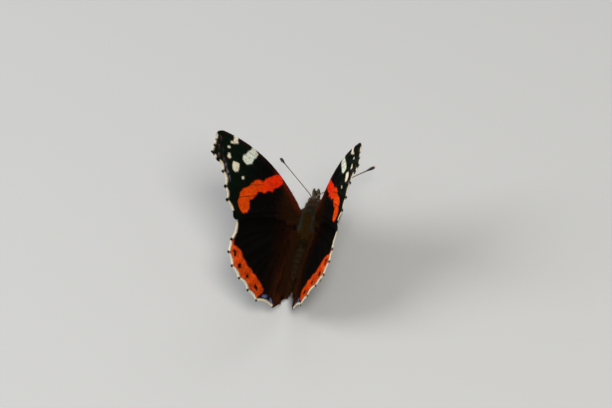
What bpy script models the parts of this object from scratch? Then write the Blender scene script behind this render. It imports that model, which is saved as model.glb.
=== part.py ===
"""Red admiral butterfly (Vanessa atalanta), life size, as a still museum model.

The wings are half raised and the body stands head up on four walking legs, with the short front
pair folded under the thorax. Every size is in millimetres until a mesh is made from it.

Two frames are used. The body frame has x to the insect's right, y forwards and z up its back, with
its origin on the mid plane at the forewing roots. The floor frame has z = 0 under the feet.
A wing is drawn flat, as in a set specimen, and then swept back, raised and twisted into its pose.
"""

import math

import bmesh
import bpy
import numpy as np
from mathutils import Matrix, Vector
from mathutils.geometry import delaunay_2d_cdt

MM = 0.001
GAP = 0.3

# Stance
BODY_PITCH = math.radians(12)
BODY_HEIGHT = 7.5

# Wings: raise above level, twist of the chord, sweep back from the set pose, root in the body frame
WING_THICKNESS = 0.5
FOREWING_RAISE = math.radians(59)
FOREWING_TWIST = math.radians(8)
FOREWING_SWEEP = math.radians(-24.5)
FOREWING_ROOT = (2.1, 0.0, 1.3)
HINDWING_RAISE = math.radians(52)
HINDWING_TWIST = math.radians(-3)
HINDWING_SWEEP = math.radians(-12)
HINDWING_ROOT = (2.15, -4.2, 0.0)

# Both wings bow upwards a little between the root and the outer margin
WING_BOW = 0.4
WING_REACH = 30.0

# The rear of the hindwing domes upwards, and its outer margin flares down again past the rim.
# Directions are in degrees about the root: 0 is straight out and 90 straight back.
DOME_HEIGHT = 1.0
DOME_POWER = 5
DOME_FROM_ROOT = (4.0, 12.0)
DOME_FROM_FRONT = (30.0, 46.0)
DOME_TO_BACK = (86.0, 68.0)
DOME_RIM = 21.8
DOME_RIM_GROWTH = 2.2
DOME_RIM_TURNS = (50.0, 64.0)

# The inner flap of the hindwing bends down beside the abdomen and then in under it, as a trough
FLAP_START = 1.0
FLAP_RADIUS = 1.2
FLAP_TURN = math.radians(60)
FLAP_DROP = 0.6
FLAP_FROM = -1.0
FLAP_FULL = -3.5
TROUGH_RADIUS = 1.8
TROUGH_TURN = math.radians(95)
# How far in from the start of the bend the mesh has lines along it
FLAP_LINES = (0.0, 0.3, 0.65, 1.0, 1.3, 1.86, 2.35, 2.85, 3.35, 3.85, 4.35, 4.85)

# Vein ridges
RIDGE_HEIGHT = 0.16
RIDGE_HALF_WIDTH = 0.3
VEIN_STEP = 1.9
EDGE_CLEARANCE = 0.12
FIELD_STEP = 2.6
FIELD_CLEARANCE = 0.7
ROOT_TAB = 1.3

# Outer margin of the forewing: each vein end, and how deep the edge dips before the next one
FOREWING_TEETH = (
    ((26.9, 16.6), 0.12),
    ((28.5, 12.6), 0.15),
    ((26.5, 10.5), 0.9),
    ((25.3, 8.15), 1.1),
    ((24.6, 4.7), 0.85),
    ((24.0, 1.55), 0.6),
    ((21.5, -2.2), 0.0),
)
# Leading edge as one Bezier curve from the root to the wing tip
FOREWING_COSTA = ((-0.2, 0.9), (4.4, 7.5), (12.0, 14.6), (24.4, 17.9))
FOREWING_TIP = ((25.4, 17.85), (26.3, 17.5))
FOREWING_HIND_EDGE = ((20.7, -2.9), (12.0, -1.9), (4.0, -2.0), (0.6, -1.5))

HINDWING_TEETH = (
    ((18.8, -3.3), 0.45),
    ((20.45, -7.7), 0.2),
    ((20.95, -11.1), 0.5),
    ((19.55, -14.3), 0.5),
    ((17.4, -17.0), 0.7),
    ((14.9, -19.45), 0.5),
    ((12.05, -21.35), 0.7),
    ((6.8, -21.4), 0.0),
)
HINDWING_FRONT_EDGE = ((0.2, 1.7), (2.4, 3.1), (8.0, 3.2), (14.2, 0.9), (17.8, -1.7))
# The inner edge, out past the bend to where the flap lies under the abdomen
HINDWING_INNER_EDGE = (
    (4.9, -20.0),
    (2.8, -18.7),
    (0.4, -16.9),
    (-1.6, -14.1),
    (-2.5, -11.3),
    (-2.5, -8.3),
    (-1.1, -5.8),
    (0.1, -3.9),
    (0.0, -2.4),
)

# Each vein as its start, a point that it passes and its end, in the flat wing
FOREWING_VEINS = {
    "subcosta": ((0.3, 0.6), (6.6, 7.5), (13.4, 13.1)),
    "radius": ((0.3, 0.3), (6.9, 6.6), (12.9, 10.9)),
    "radius_1": ((9.4, 8.7), (12.9, 11.9), (16.6, 14.6)),
    "radius_5": ((12.9, 10.9), (19.5, 14.7), (26.6, 16.5)),
    "radius_3": ((18.0, 14.0), (20.4, 15.8), (22.8, 17.3)),
    "media_1": ((12.9, 10.9), (20.5, 12.9), (28.2, 12.6)),
    "media_2": ((13.6, 9.0), (20.3, 10.9), (26.2, 10.5)),
    "media_3": ((13.0, 6.9), (19.0, 7.8), (25.0, 8.15)),
    "cell_end": ((12.9, 10.9), (13.6, 9.0), (13.0, 6.9)),
    "cubitus": ((0.3, 0.0), (6.2, 3.3), (13.0, 6.9)),
    "cubitus_1": ((11.2, 5.9), (17.5, 5.5), (24.2, 4.75)),
    "cubitus_2": ((7.6, 4.0), (15.5, 3.1), (23.6, 1.7)),
    "anal_2": ((0.3, -0.5), (9.5, -0.1), (21.1, -2.0)),
}
HINDWING_VEINS = {
    "subcosta": ((0.5, 0.7), (8.5, 1.5), (18.4, -3.1)),
    "radius": ((0.5, 0.3), (8.6, -2.0), (20.1, -7.6)),
    "media_1": ((7.4, -1.7), (13.6, -6.0), (20.6, -10.95)),
    "media_2": ((7.8, -4.2), (13.4, -8.7), (19.25, -14.0)),
    "media_3": ((7.0, -6.6), (12.2, -11.3), (17.15, -16.75)),
    "cell_end": ((7.4, -1.7), (7.8, -4.2), (7.0, -6.6)),
    "cubitus": ((0.5, -0.3), (3.6, -3.7), (7.0, -6.6)),
    "cubitus_1": ((7.0, -6.6), (11.2, -12.6), (14.75, -19.2)),
    "cubitus_2": ((4.7, -4.7), (8.9, -12.7), (12.0, -21.0)),
    "anal_2": ((0.5, -0.9), (3.7, -9.5), (6.9, -21.0)),
}

# Body sections from tail to head: y, centre z, half width, rise above and drop below the centre
THORAX = (
    (-5.2, -1.2, 1.35, 1.20, 1.25),
    (-4.4, -1.2, 1.80, 1.70, 1.70),
    (-3.2, -1.15, 2.15, 2.25, 2.20),
    (-1.0, -1.1, 2.45, 2.80, 2.70),
    (0.8, -1.1, 2.40, 2.85, 2.70),
    (2.2, -1.1, 2.05, 2.40, 2.30),
    (3.4, -1.1, 1.45, 1.60, 1.60),
)
HEAD = (
    (3.7, -1.05, 1.00, 1.10, 1.15),
    (4.3, -1.0, 0.98, 1.18, 1.25),
    (5.1, -0.95, 0.92, 1.15, 1.30),
    (5.7, -1.05, 0.75, 0.90, 1.10),
    (6.1, -1.15, 0.40, 0.45, 0.60),
)
ABDOMEN = (
    (-17.2, -0.8, 0.22, 0.22, 0.22),
    (-16.5, -0.8, 0.62, 0.60, 0.60),
    (-15.2, -0.85, 1.00, 0.95, 0.98),
    (-13.2, -0.95, 1.32, 1.28, 1.32),
    (-10.8, -1.05, 1.55, 1.50, 1.58),
    (-8.6, -1.12, 1.56, 1.50, 1.60),
    (-6.8, -1.18, 1.50, 1.42, 1.50),
    (-5.5, -1.2, 1.30, 1.12, 1.20),
)
SEGMENT_EDGES = (-16.4, -15.2, -13.9, -12.5, -11.0, -9.4, -7.8, -6.6)
SEGMENT_GROOVE = 0.07
SEGMENT_RISE = 0.14
SEGMENT_CREST = 0.6
# The abdomen bends a little to the left, by this much at its tip
ABDOMEN_LEAN = 0.7

EYE_CENTRE = (1.0, 4.95, -1.0)
EYE_SIZE = (0.68, 0.78, 0.85)
PALP_PATH = ((0.5, 5.3, -1.5), (0.57, 6.1, -1.45), (0.6, 6.8, -1.0), (0.58, 7.3, -0.55), (0.56, 7.6, -0.25))
PALP_RADII = (0.3, 0.38, 0.42, 0.34, 0.14)
COIL_CENTRE = (0.0, 5.9, -2.85)
COIL_RADIUS = 1.0
COIL_HALF_THICKNESS = 0.26
COIL_SIDES = 20
COIL_CORE = 0.04
# Share of the coil's radius, and of its half thickness there: two turns with grooves between them
COIL_PROFILE = ((0.0, 0.6), (0.18, 0.6), (0.34, 1.0), (0.5, 0.75), (0.68, 1.0), (0.84, 0.75), (1.0, 0.7))

# Antenna: from inside the head to the tip of the club, in the body frame
ANTENNA_PATH = (
    (0.42, 4.9, -0.5),
    (0.55, 5.25, 0.2),
    (1.0, 5.85, 0.42),
    (4.6, 9.5, -0.45),
    (8.4, 13.4, -1.75),
    (10.3, 15.4, -2.65),
    (11.1, 16.3, -3.07),
    (11.75, 16.97, -3.38),
    (11.95, 17.2, -3.5),
)
ANTENNA_RADII = (0.25, 0.25, 0.25, 0.25, 0.25, 0.27, 0.42, 0.38, 0.12)

# Legs: coxa inside the thorax and its end in the body frame, then knee, ankle and toe on the floor
LEG_SIDES = 8
HIP_RADIUS = 0.42
FEMUR_RADIUS = 0.4
KNEE_RADIUS = 0.3
TIBIA_RADIUS = 0.29
ANKLE_RADIUS = 0.27
TARSUS_PIECES = 5
TARSUS_WAIST = 0.86
HEEL_REACH = 0.75
FOOT_RADIUS = 0.29
FOOT_FLAT = 0.07
TOE_RADIUS = 0.16
LEGS = {
    "midleg": {
        "coxa": ((1.0, -0.6, -3.0), (1.5, -0.8, -4.3)),
        "knee": (4.3, 2.4, 4.8),
        "ankle": (4.5, 4.8, 0.9),
        "toe": (4.6, 8.3),
    },
    "hindleg": {
        "coxa": ((1.0, -3.0, -2.4), (1.5, -3.3, -3.9)),
        "knee": (3.9, -6.0, 5.0),
        "ankle": (4.6, -9.2, 0.9),
        "toe": (5.1, -13.3),
    },
}
# The brush foot: a short leg held against the breast, in the body frame
FORELEG_PATH = ((0.8, 2.0, -2.6), (0.95, 2.3, -3.6), (1.35, 3.9, -4.0), (1.25, 4.9, -3.1), (1.2, 5.35, -2.75))
FORELEG_RADII = (0.34, 0.34, 0.32, 0.27, 0.12)

COLOURS = {
    "thorax": ((0.045, 0.040, 0.035), 0.85),
    "head": ((0.07, 0.055, 0.045), 0.85),
    "abdomen": ((0.045, 0.028, 0.018), 0.85),
    "eye": ((0.05, 0.025, 0.015), 0.15),
    "antenna": ((0.03, 0.022, 0.018), 0.5),
    "palp": ((0.10, 0.08, 0.065), 0.85),
    "proboscis": ((0.05, 0.03, 0.015), 0.4),
    "forewing": ((0.012, 0.014, 0.012), 0.8),
    "hindwing": ((0.022, 0.012, 0.008), 0.8),
    "leg": ((0.09, 0.065, 0.045), 0.6),
}


def clear_scene():
    for obj in list(bpy.data.objects):
        bpy.data.objects.remove(obj, do_unlink=True)


def material(name):
    colour, roughness = COLOURS[name]
    made = bpy.data.materials.get(name) or bpy.data.materials.new(name)
    made.use_nodes = True
    shader = made.node_tree.nodes["Principled BSDF"]
    shader.inputs["Base Color"].default_value = (*colour, 1.0)
    shader.inputs["Roughness"].default_value = roughness
    shader.inputs["Metallic"].default_value = 0.0
    made.diffuse_color = (*colour, 1.0)
    return made


def mesh_from(name, points, faces):
    """A mesh in metres from points in millimetres, with its faces turned outwards."""
    mesh = bpy.data.meshes.new(name)
    mesh.from_pydata([tuple(float(c) * MM for c in p) for p in points], [], faces)
    shape = bmesh.new()
    shape.from_mesh(mesh)
    bmesh.ops.recalc_face_normals(shape, faces=shape.faces)
    shape.to_mesh(mesh)
    shape.free()
    return mesh


def add_object(name, mesh, look, parent, collection):
    obj = bpy.data.objects.new(name, mesh)
    if look:
        mesh.materials.append(material(look))
    obj.parent = parent
    collection.objects.link(obj)
    return obj


def mirrored(points):
    return [(-p[0], p[1], p[2]) for p in points]


def largest_piece(mesh):
    """Keeps the mesh's biggest connected piece and drops the scraps that a cut leaves."""
    shape = bmesh.new()
    shape.from_mesh(mesh)
    left = set(shape.verts)
    pieces = []
    while left:
        stack = [left.pop()]
        piece = set(stack)
        while stack:
            for edge in stack.pop().link_edges:
                for vert in edge.verts:
                    if vert in left:
                        left.discard(vert)
                        piece.add(vert)
                        stack.append(vert)
        pieces.append(piece)
    pieces.sort(key=len)
    for piece in pieces[:-1]:
        bmesh.ops.delete(shape, geom=list(piece), context="VERTS")
    shape.to_mesh(mesh)
    shape.free()


def cut_by(obj, cutter):
    """Cuts the object by a helper, applies the cut and keeps the largest piece."""
    cut = obj.modifiers.new("cut", "BOOLEAN")
    cut.operation = "DIFFERENCE"
    cut.object = cutter
    bpy.context.view_layer.update()
    graph = bpy.context.evaluated_depsgraph_get()
    made = bpy.data.meshes.new_from_object(obj.evaluated_get(graph))
    obj.modifiers.remove(cut)
    old = obj.data
    obj.data = made
    bpy.data.meshes.remove(old)
    largest_piece(made)
    made.name = obj.name


def shade(obj, angle_deg=40):
    obj.data.shade_smooth()
    obj.data.set_sharp_from_angle(angle=math.radians(angle_deg))


def loft(rings):
    """Points and faces of a closed tube through rings of the same count."""
    count = len(rings[0])
    points = [p for ring in rings for p in ring]
    faces = [tuple(range(count)), tuple(range(len(points) - count, len(points)))]
    for row in range(len(rings) - 1):
        for i in range(count):
            j = (i + 1) % count
            a = row * count
            faces.append((a + i, a + j, a + count + j, a + count + i))
    return points, faces


def section_at(sections, y):
    """The section at y, smoothly between the given ones (a cubic through each with matched slopes)."""
    table = np.array(sections)
    ys = table[:, 0]
    slopes = np.gradient(table, ys, axis=0)
    k = int(np.clip(np.searchsorted(ys, y) - 1, 0, len(ys) - 2))
    span = ys[k + 1] - ys[k]
    t = (y - ys[k]) / span
    return (
        (2 * t**3 - 3 * t**2 + 1) * table[k]
        + (t**3 - 2 * t**2 + t) * span * slopes[k]
        + (3 * t**2 - 2 * t**3) * table[k + 1]
        + (t**3 - t**2) * span * slopes[k + 1]
    )


def body_ring(sections, y, sides, grow=0.0, scale=1.0, lean=0.0):
    _, centre, width, rise, drop = section_at(sections, y)
    ring = []
    for i in range(sides):
        angle = 2 * math.pi * i / sides
        height = rise if math.sin(angle) > 0 else drop
        ring.append(
            (
                (width * scale + grow) * math.cos(angle) - lean,
                y,
                centre + (height * scale + grow) * math.sin(angle),
            )
        )
    return ring


def body_solid(sections, sides, steps, grow=0.0):
    """A body part lofted along y, and larger all round by grow when it serves as a cutter."""
    first, last = sections[0][0], sections[-1][0]
    rings = [body_ring(sections, y, sides, grow) for y in np.linspace(first, last, steps)]
    if grow:
        rings[0] = [(x, first - grow, z) for x, _, z in rings[0]]
        rings[-1] = [(x, last + grow, z) for x, _, z in rings[-1]]
    return loft(rings)


def abdomen_lean(y):
    """How far the abdomen's middle lies to the left at y: it bends at the waist and then straightens."""
    tail, waist = ABDOMEN[0][0], ABDOMEN[-1][0]
    ahead = (y - tail) / (waist - tail)
    return ABDOMEN_LEAN * (1 - ahead**2)


def abdomen_solid(sides):
    """The abdomen with a groove at each segment's edge, where the next segment slides under it."""
    first, last = ABDOMEN[0][0], ABDOMEN[-1][0]
    edges = [first, *SEGMENT_EDGES, last]
    stops = [(first, 1.0)]
    for back, front in zip(edges[:-1], edges[1:]):
        length = front - back
        stops += [(back + SEGMENT_RISE * length, 1.0), (back + SEGMENT_CREST * length, 1.0)]
        if front != last:
            stops.append((front, 1 - SEGMENT_GROOVE))
    stops.append((last, 1.0))
    return loft([body_ring(ABDOMEN, y, sides, scale=scale, lean=abdomen_lean(y)) for y, scale in stops])


def rounded_path(points, radii, reach=0.5):
    """The path with each corner replaced by a short curve of three points."""
    points = [Vector(p) for p in points]
    path = [points[0]]
    sizes = [radii[0]]
    for before, corner, after, radius in zip(points, points[1:], points[2:], radii[1:]):
        start = corner + (before - corner).normalized() * min(reach, (before - corner).length / 2.2)
        end = corner + (after - corner).normalized() * min(reach, (after - corner).length / 2.2)
        path += [start, (start + 2 * corner + end) / 4, end]
        sizes += [radius] * 3
    return [*path, points[-1]], [*sizes, radii[-1]]


def sweep(path, radii, sides):
    """A tube of changing radius along a path, mitred where the path bends."""
    path = [Vector(p) for p in path]
    runs = [(b - a).normalized() for a, b in zip(path, path[1:])]
    side = runs[0].cross(Vector((0, 0, 1)))
    if side.length < 0.1:
        side = Vector((1, 0, 0))
    side.normalize()
    rings = []
    for i, (point, radius) in enumerate(zip(path, radii)):
        before = runs[max(i - 1, 0)]
        after = runs[min(i, len(runs) - 1)]
        mitre = (before + after).normalized()
        side = (side - side.dot(before) * before).normalized()
        up = side.cross(before)
        ring = []
        for k in range(sides):
            angle = 2 * math.pi * (k + 0.5) / sides
            offset = radius * (math.cos(angle) * side + math.sin(angle) * up)
            ring.append(point + offset - before * (offset.dot(mitre) / before.dot(mitre)))
        rings.append(ring)
    return loft(rings)


def to_floor_frame(point):
    x, y, z = point
    return (
        x,
        y * math.cos(BODY_PITCH) - z * math.sin(BODY_PITCH),
        y * math.sin(BODY_PITCH) + z * math.cos(BODY_PITCH) + BODY_HEIGHT,
    )


def leg_solid(leg):
    """Coxa, femur, tibia and a tarsus of five pieces that lies along the floor."""
    hip, trochanter = (Vector(to_floor_frame(p)) for p in leg["coxa"])
    knee, ankle = Vector(leg["knee"]), Vector(leg["ankle"])
    toe = Vector((*leg["toe"], FOOT_RADIUS - FOOT_FLAT))
    along = Vector((toe.x - ankle.x, toe.y - ankle.y, 0)).normalized()
    heel = Vector((ankle.x, ankle.y, FOOT_RADIUS - FOOT_FLAT)) + along * HEEL_REACH
    thigh = trochanter.lerp(knee, 0.35)
    calf = knee.lerp(ankle, 0.3)
    path, radii = rounded_path(
        [hip, trochanter, thigh, knee, calf, ankle, heel],
        [HIP_RADIUS, FEMUR_RADIUS, FEMUR_RADIUS, KNEE_RADIUS, TIBIA_RADIUS, ANKLE_RADIUS, FOOT_RADIUS],
        0.35,
    )
    for piece in range(TARSUS_PIECES):
        start = (piece + 0.12) / TARSUS_PIECES
        end = (piece + 0.9) / TARSUS_PIECES
        path += [heel.lerp(toe, start), heel.lerp(toe, end)]
        radii += [FOOT_RADIUS * TARSUS_WAIST, FOOT_RADIUS]
    path.append(toe)
    radii.append(TOE_RADIUS)
    points, faces = sweep(path, radii, LEG_SIDES)
    return [(p[0], p[1], max(p[2], 0.0)) for p in points], faces


def curve_through(start, middle, end, step):
    """Points of the quadratic curve that passes the middle point half way."""
    start, middle, end = (np.array(p, float) for p in (start, middle, end))
    control = 2 * middle - (start + end) / 2
    length = np.linalg.norm(middle - start) + np.linalg.norm(end - middle)
    t = np.linspace(0, 1, max(2, round(length / step) + 1))[:, None]
    return (1 - t) ** 2 * start + 2 * t * (1 - t) * control + t**2 * end


def bezier(controls, count):
    a, b, c, d = (np.array(p, float) for p in controls)
    t = np.linspace(0, 1, count)[:, None]
    return (1 - t) ** 3 * a + 3 * t * (1 - t) ** 2 * b + 3 * t**2 * (1 - t) * c + t**3 * d


def smooth_run(points, per_span):
    """A smooth curve through the points, with a few points to each span."""
    points = np.array(points, float)
    padded = np.vstack([2 * points[0] - points[1], points, 2 * points[-1] - points[-2]])
    run = []
    for k in range(len(points) - 1):
        p0, p1, p2, p3 = padded[k : k + 4]
        for t in np.arange(per_span) / per_span:
            run.append(
                0.5
                * (
                    2 * p1
                    + (p2 - p0) * t
                    + (2 * p0 - 5 * p1 + 4 * p2 - p3) * t**2
                    + (3 * p1 - p0 - 3 * p2 + p3) * t**3
                )
            )
    return [*run, points[-1]]


def scalloped(teeth):
    """The outer margin: a point at each vein end, and the edge dipping in between."""
    run = []
    for (start, dip), (end, _) in zip(teeth, teeth[1:]):
        start, end = np.array(start), np.array(end)
        chord = end - start
        inward = np.array([chord[1], -chord[0]]) / np.linalg.norm(chord)
        for t in (0.0, 0.16, 0.34, 0.5, 0.66, 0.84):
            run.append(start + t * chord + inward * dip * math.sin(math.pi * t) ** 0.8)
    return [*run, np.array(teeth[-1][0])]


def forewing_outline():
    front = bezier(FOREWING_COSTA, 15)
    hind = smooth_run(FOREWING_HIND_EDGE, 3)
    tab = [(-ROOT_TAB, -1.6), (-ROOT_TAB, -0.2)]
    return [*front, *FOREWING_TIP, *scalloped(FOREWING_TEETH), *hind, *tab]


def hindwing_outline():
    front = smooth_run(HINDWING_FRONT_EDGE, 3)
    inner = smooth_run(HINDWING_INNER_EDGE, 3)
    tab = [(-0.6, -1.2), (-ROOT_TAB, -0.9), (-ROOT_TAB, 1.3)]
    return [*front, *scalloped(HINDWING_TEETH), *inner, *tab]


def swept(x, y, sweep_angle):
    c, s = math.cos(sweep_angle), math.sin(sweep_angle)
    return x * c - y * s, x * s + y * c


def eased(value, start, end):
    """0 before start, 1 after end and smooth in between, whichever of the two is larger."""
    share = min(max((value - start) / (end - start), 0.0), 1.0)
    return share * share * (3 - 2 * share)


def raised(across, along, raise_angle, twist, root, dome=0.0):
    """A point of the flat wing in the body frame: across runs out from the body, along runs forwards."""
    c, s = math.cos(raise_angle), math.sin(raise_angle)
    bow = WING_BOW * math.sin(math.pi * min(max(across / WING_REACH, 0.0), 1.0)) + dome
    lift = along * math.sin(twist) + bow * math.cos(twist)
    return np.array(
        [
            root[0] + across * c - lift * s,
            root[1] + along * math.cos(twist) - bow * math.sin(twist),
            root[2] + across * s + lift * c,
        ]
    )


def on_forewing(x, y):
    across, along = swept(x, y, FOREWING_SWEEP)
    return raised(across, along, FOREWING_RAISE, FOREWING_TWIST, FOREWING_ROOT)


def hindwing_dome(across, along):
    """How far the hindwing's surface lies above its flat shape at a point."""
    reach = math.hypot(across, along)
    turn = math.degrees(math.atan2(-along, across))
    rim = DOME_RIM + DOME_RIM_GROWTH * eased(turn, *DOME_RIM_TURNS)
    share = eased(turn, *DOME_FROM_FRONT) * eased(turn, *DOME_TO_BACK) * eased(reach, *DOME_FROM_ROOT)
    return DOME_HEIGHT * share * (1 - (reach / rim) ** DOME_POWER)


def level_hindwing(across, along):
    """The hindwing without its bend."""
    dome = hindwing_dome(across, along)
    return raised(across, along, HINDWING_RAISE, HINDWING_TWIST, HINDWING_ROOT, dome)


def flap_offset(inward):
    """From the start of the bend to a point of the flap: an arc down, a straight drop, an arc inwards."""
    turn = min(inward / FLAP_RADIUS, FLAP_TURN)
    steepest = HINDWING_RAISE + turn
    past = inward - FLAP_RADIUS * turn
    drop = min(past, FLAP_DROP)
    back = min((past - drop) / TROUGH_RADIUS, TROUGH_TURN)
    angle = steepest - back
    rest = past - drop - back * TROUGH_RADIUS
    across = FLAP_RADIUS * (math.sin(steepest) - math.sin(HINDWING_RAISE)) + drop * math.cos(steepest)
    across += TROUGH_RADIUS * (math.sin(steepest) - math.sin(angle)) + rest * math.cos(angle)
    down = FLAP_RADIUS * (math.cos(HINDWING_RAISE) - math.cos(steepest)) + drop * math.sin(steepest)
    down += TROUGH_RADIUS * (math.cos(angle) - math.cos(steepest)) + rest * math.sin(angle)
    return -np.array([across, 0.0, down])


def on_hindwing(x, y):
    across, along = swept(x, y, HINDWING_SWEEP)
    level = level_hindwing(across, along)
    share = eased(along, FLAP_FROM, FLAP_FULL)
    if across >= FLAP_START or share == 0:
        return level
    bent = level_hindwing(FLAP_START, along) + flap_offset(FLAP_START - across)
    return level * (1 - share) + bent * share


def normal_of(surface, x, y, step=0.02):
    """The wing's upward normal at a point."""
    across = surface(x + step, y) - surface(x - step, y)
    along = surface(x, y + step) - surface(x, y - step)
    normal = np.cross(across, along)
    return normal / np.linalg.norm(normal)


def distance_to_run(point, run):
    starts, spans = run[:-1], np.diff(run, axis=0)
    t = np.clip(((point - starts) * spans).sum(1) / (spans**2).sum(1), 0, 1)
    return np.linalg.norm(starts + t[:, None] * spans - point, axis=1).min()


def offset_run(run, distance):
    slopes = np.gradient(run, axis=0)
    normals = np.column_stack([-slopes[:, 1], slopes[:, 0]])
    normals /= np.linalg.norm(normals, axis=1)[:, None]
    return run + normals * distance


def ridge_height(point, runs):
    nearest = min(distance_to_run(point, run) for run in runs)
    return RIDGE_HEIGHT * max(0.0, 1 - nearest / RIDGE_HALF_WIDTH)


def inside_outline(point, outline):
    x, y = point
    inside = False
    for (x1, y1), (x2, y2) in zip(outline, [*outline[1:], outline[0]]):
        if (y1 > y) != (y2 > y) and x < (x2 - x1) * (y - y1) / (y2 - y1) + x1:
            inside = not inside
    return inside


def wing_solid(outline, veins, surface, flap_lines=()):
    """The wing as one thin closed sheet, split alike on both faces, with its veins raised from it."""
    outline = [tuple(p) for p in outline]
    closed = np.array([*outline, outline[0]])
    runs = [curve_through(*vein, VEIN_STEP) for vein in veins.values()]
    lines = []
    for run in runs:
        lines += [run, offset_run(run, RIDGE_HALF_WIDTH), offset_run(run, -RIDGE_HALF_WIDTH)]
    lines += [np.array(line) for line in flap_lines]
    verts = [Vector(p) for p in outline]
    edges = []
    for line in lines:
        kept = [
            tuple(p)
            for p in line
            if inside_outline(p, outline) and distance_to_run(p, closed) > EDGE_CLEARANCE
        ]
        edges += [(len(verts) + i, len(verts) + i + 1) for i in range(len(kept) - 1)]
        verts += [Vector(p) for p in kept]
    low, high = closed.min(0), closed.max(0)
    for x in np.arange(low[0], high[0], FIELD_STEP):
        for y in np.arange(low[1], high[1], FIELD_STEP):
            point = np.array([x, y])
            clear = min(distance_to_run(point, run) for run in [closed, *lines])
            if inside_outline(point, outline) and clear > FIELD_CLEARANCE:
                verts.append(Vector(point))
    flat, _, triangles = delaunay_2d_cdt(verts, edges, [list(range(len(outline)))], 1, 1e-3)[:3]
    upper, lower = [], []
    for point in flat:
        middle = surface(point.x, point.y)
        reach = WING_THICKNESS / 2 + ridge_height(np.array(point), runs)
        normal = normal_of(surface, point.x, point.y)
        upper.append(middle + normal * reach)
        lower.append(middle - normal * reach)
    count = len(flat)
    faces = []
    rim = {}
    for a, b, c in triangles:
        faces += [(a, b, c), (c + count, b + count, a + count)]
        for edge in ((a, b), (b, c), (c, a)):
            if edge[::-1] in rim:
                del rim[edge[::-1]]
            else:
                rim[edge] = True
    for a, b in rim:
        faces += [(b, a, a + count), (b, a + count, b + count)]
    return [*upper, *lower], faces


def flap_lines():
    """Lines along the bend of the hindwing's inner flap, as points of the flat wing."""
    back = -HINDWING_SWEEP
    return [
        [swept(FLAP_START - inward, along, back) for along in np.arange(-21.5, 0.5, 1.6)]
        for inward in FLAP_LINES
    ]


def build_body(body, parts, cutters):
    """The thorax, head and abdomen, and the slightly larger copies that cut their neighbours clear."""
    thorax = add_object("thorax", mesh_from("thorax", *body_solid(THORAX, 20, 14)), "thorax", body, parts)
    head = add_object("head", mesh_from("head", *body_solid(HEAD, 18, 10)), "head", body, parts)
    abdomen = add_object("abdomen", mesh_from("abdomen", *abdomen_solid(16)), "abdomen", body, parts)
    for obj in (thorax, head, abdomen):
        shade(obj)
    made = {}
    for name, sections in (("thorax", THORAX), ("head", HEAD)):
        mesh = mesh_from(name + "_cutter", *body_solid(sections, 20, 14, GAP))
        made[name] = add_object(name + "_cutter", mesh, None, body, cutters)
        made[name].hide_render = True
        made[name].display_type = "WIRE"
    return made


def build_wings(body, parts, cutters):
    wings = {
        "forewing": wing_solid(forewing_outline(), FOREWING_VEINS, on_forewing),
        "hindwing": wing_solid(hindwing_outline(), HINDWING_VEINS, on_hindwing, flap_lines()),
    }
    for name, (points, faces) in wings.items():
        for side, placed in (("right", points), ("left", mirrored(points))):
            mesh = mesh_from(f"{name}_{side}", placed, faces)
            wing = add_object(f"{name}_{side}", mesh, name, body, parts)
            cut_by(wing, cutters["thorax"])


def eye_mesh(name, mirror):
    shape = bmesh.new()
    bmesh.ops.create_uvsphere(shape, u_segments=16, v_segments=12, radius=MM)
    x = -EYE_CENTRE[0] if mirror else EYE_CENTRE[0]
    place = Matrix.Translation(Vector((x, EYE_CENTRE[1], EYE_CENTRE[2])) * MM)
    bmesh.ops.transform(shape, matrix=place @ Matrix.Diagonal((*EYE_SIZE, 1)), verts=shape.verts)
    mesh = bpy.data.meshes.new(name)
    shape.to_mesh(mesh)
    shape.free()
    return mesh


def coil_solid():
    """The coiled tongue as one turned disc, a little hollow at the middle and grooved between turns."""
    x, y, z = COIL_CENTRE
    right_face = [(r, half) for r, half in COIL_PROFILE]
    left_face = [(r, -half) for r, half in reversed(COIL_PROFILE)]
    rings = []
    for share, half in [*right_face, *left_face]:
        radius = max(share, COIL_CORE) * COIL_RADIUS
        ring = []
        for i in range(COIL_SIDES):
            angle = 2 * math.pi * i / COIL_SIDES
            place = (y + radius * math.cos(angle), z + radius * math.sin(angle))
            ring.append((x + half * COIL_HALF_THICKNESS, *place))
        rings.append(ring)
    return loft(rings)


def build_head_parts(body, parts, cutters):
    path, radii = rounded_path(ANTENNA_PATH, ANTENNA_RADII, 0.25)
    antenna = sweep(path, radii, 8)
    palp = sweep(PALP_PATH, PALP_RADII, 8)
    for side, mirror in (("right", False), ("left", True)):
        for name, (points, faces) in (("antenna", antenna), ("palp", palp)):
            placed = mirrored(points) if mirror else points
            mesh = mesh_from(f"{name}_{side}", placed, faces)
            piece = add_object(f"{name}_{side}", mesh, name, body, parts)
            cut_by(piece, cutters["head"])
            shade(piece)
        eye = add_object(f"eye_{side}", eye_mesh(f"eye_{side}", mirror), "eye", body, parts)
        cut_by(eye, cutters["head"])
        shade(eye)
    coil = add_object("proboscis", mesh_from("proboscis", *coil_solid()), "proboscis", body, parts)
    cut_by(coil, cutters["head"])


def build_legs(body, floor, parts, cutters):
    for name, leg in LEGS.items():
        points, faces = leg_solid(leg)
        for side, placed in (("right", points), ("left", mirrored(points))):
            mesh = mesh_from(f"{name}_{side}", placed, faces)
            piece = add_object(f"{name}_{side}", mesh, "leg", floor, parts)
            cut_by(piece, cutters["thorax"])
            shade(piece)
    path, radii = rounded_path(FORELEG_PATH, FORELEG_RADII, 0.3)
    points, faces = sweep(path, radii, LEG_SIDES)
    for side, placed in (("right", points), ("left", mirrored(points))):
        mesh = mesh_from(f"foreleg_{side}", placed, faces)
        piece = add_object(f"foreleg_{side}", mesh, "leg", body, parts)
        cut_by(piece, cutters["thorax"])
        shade(piece)


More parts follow.
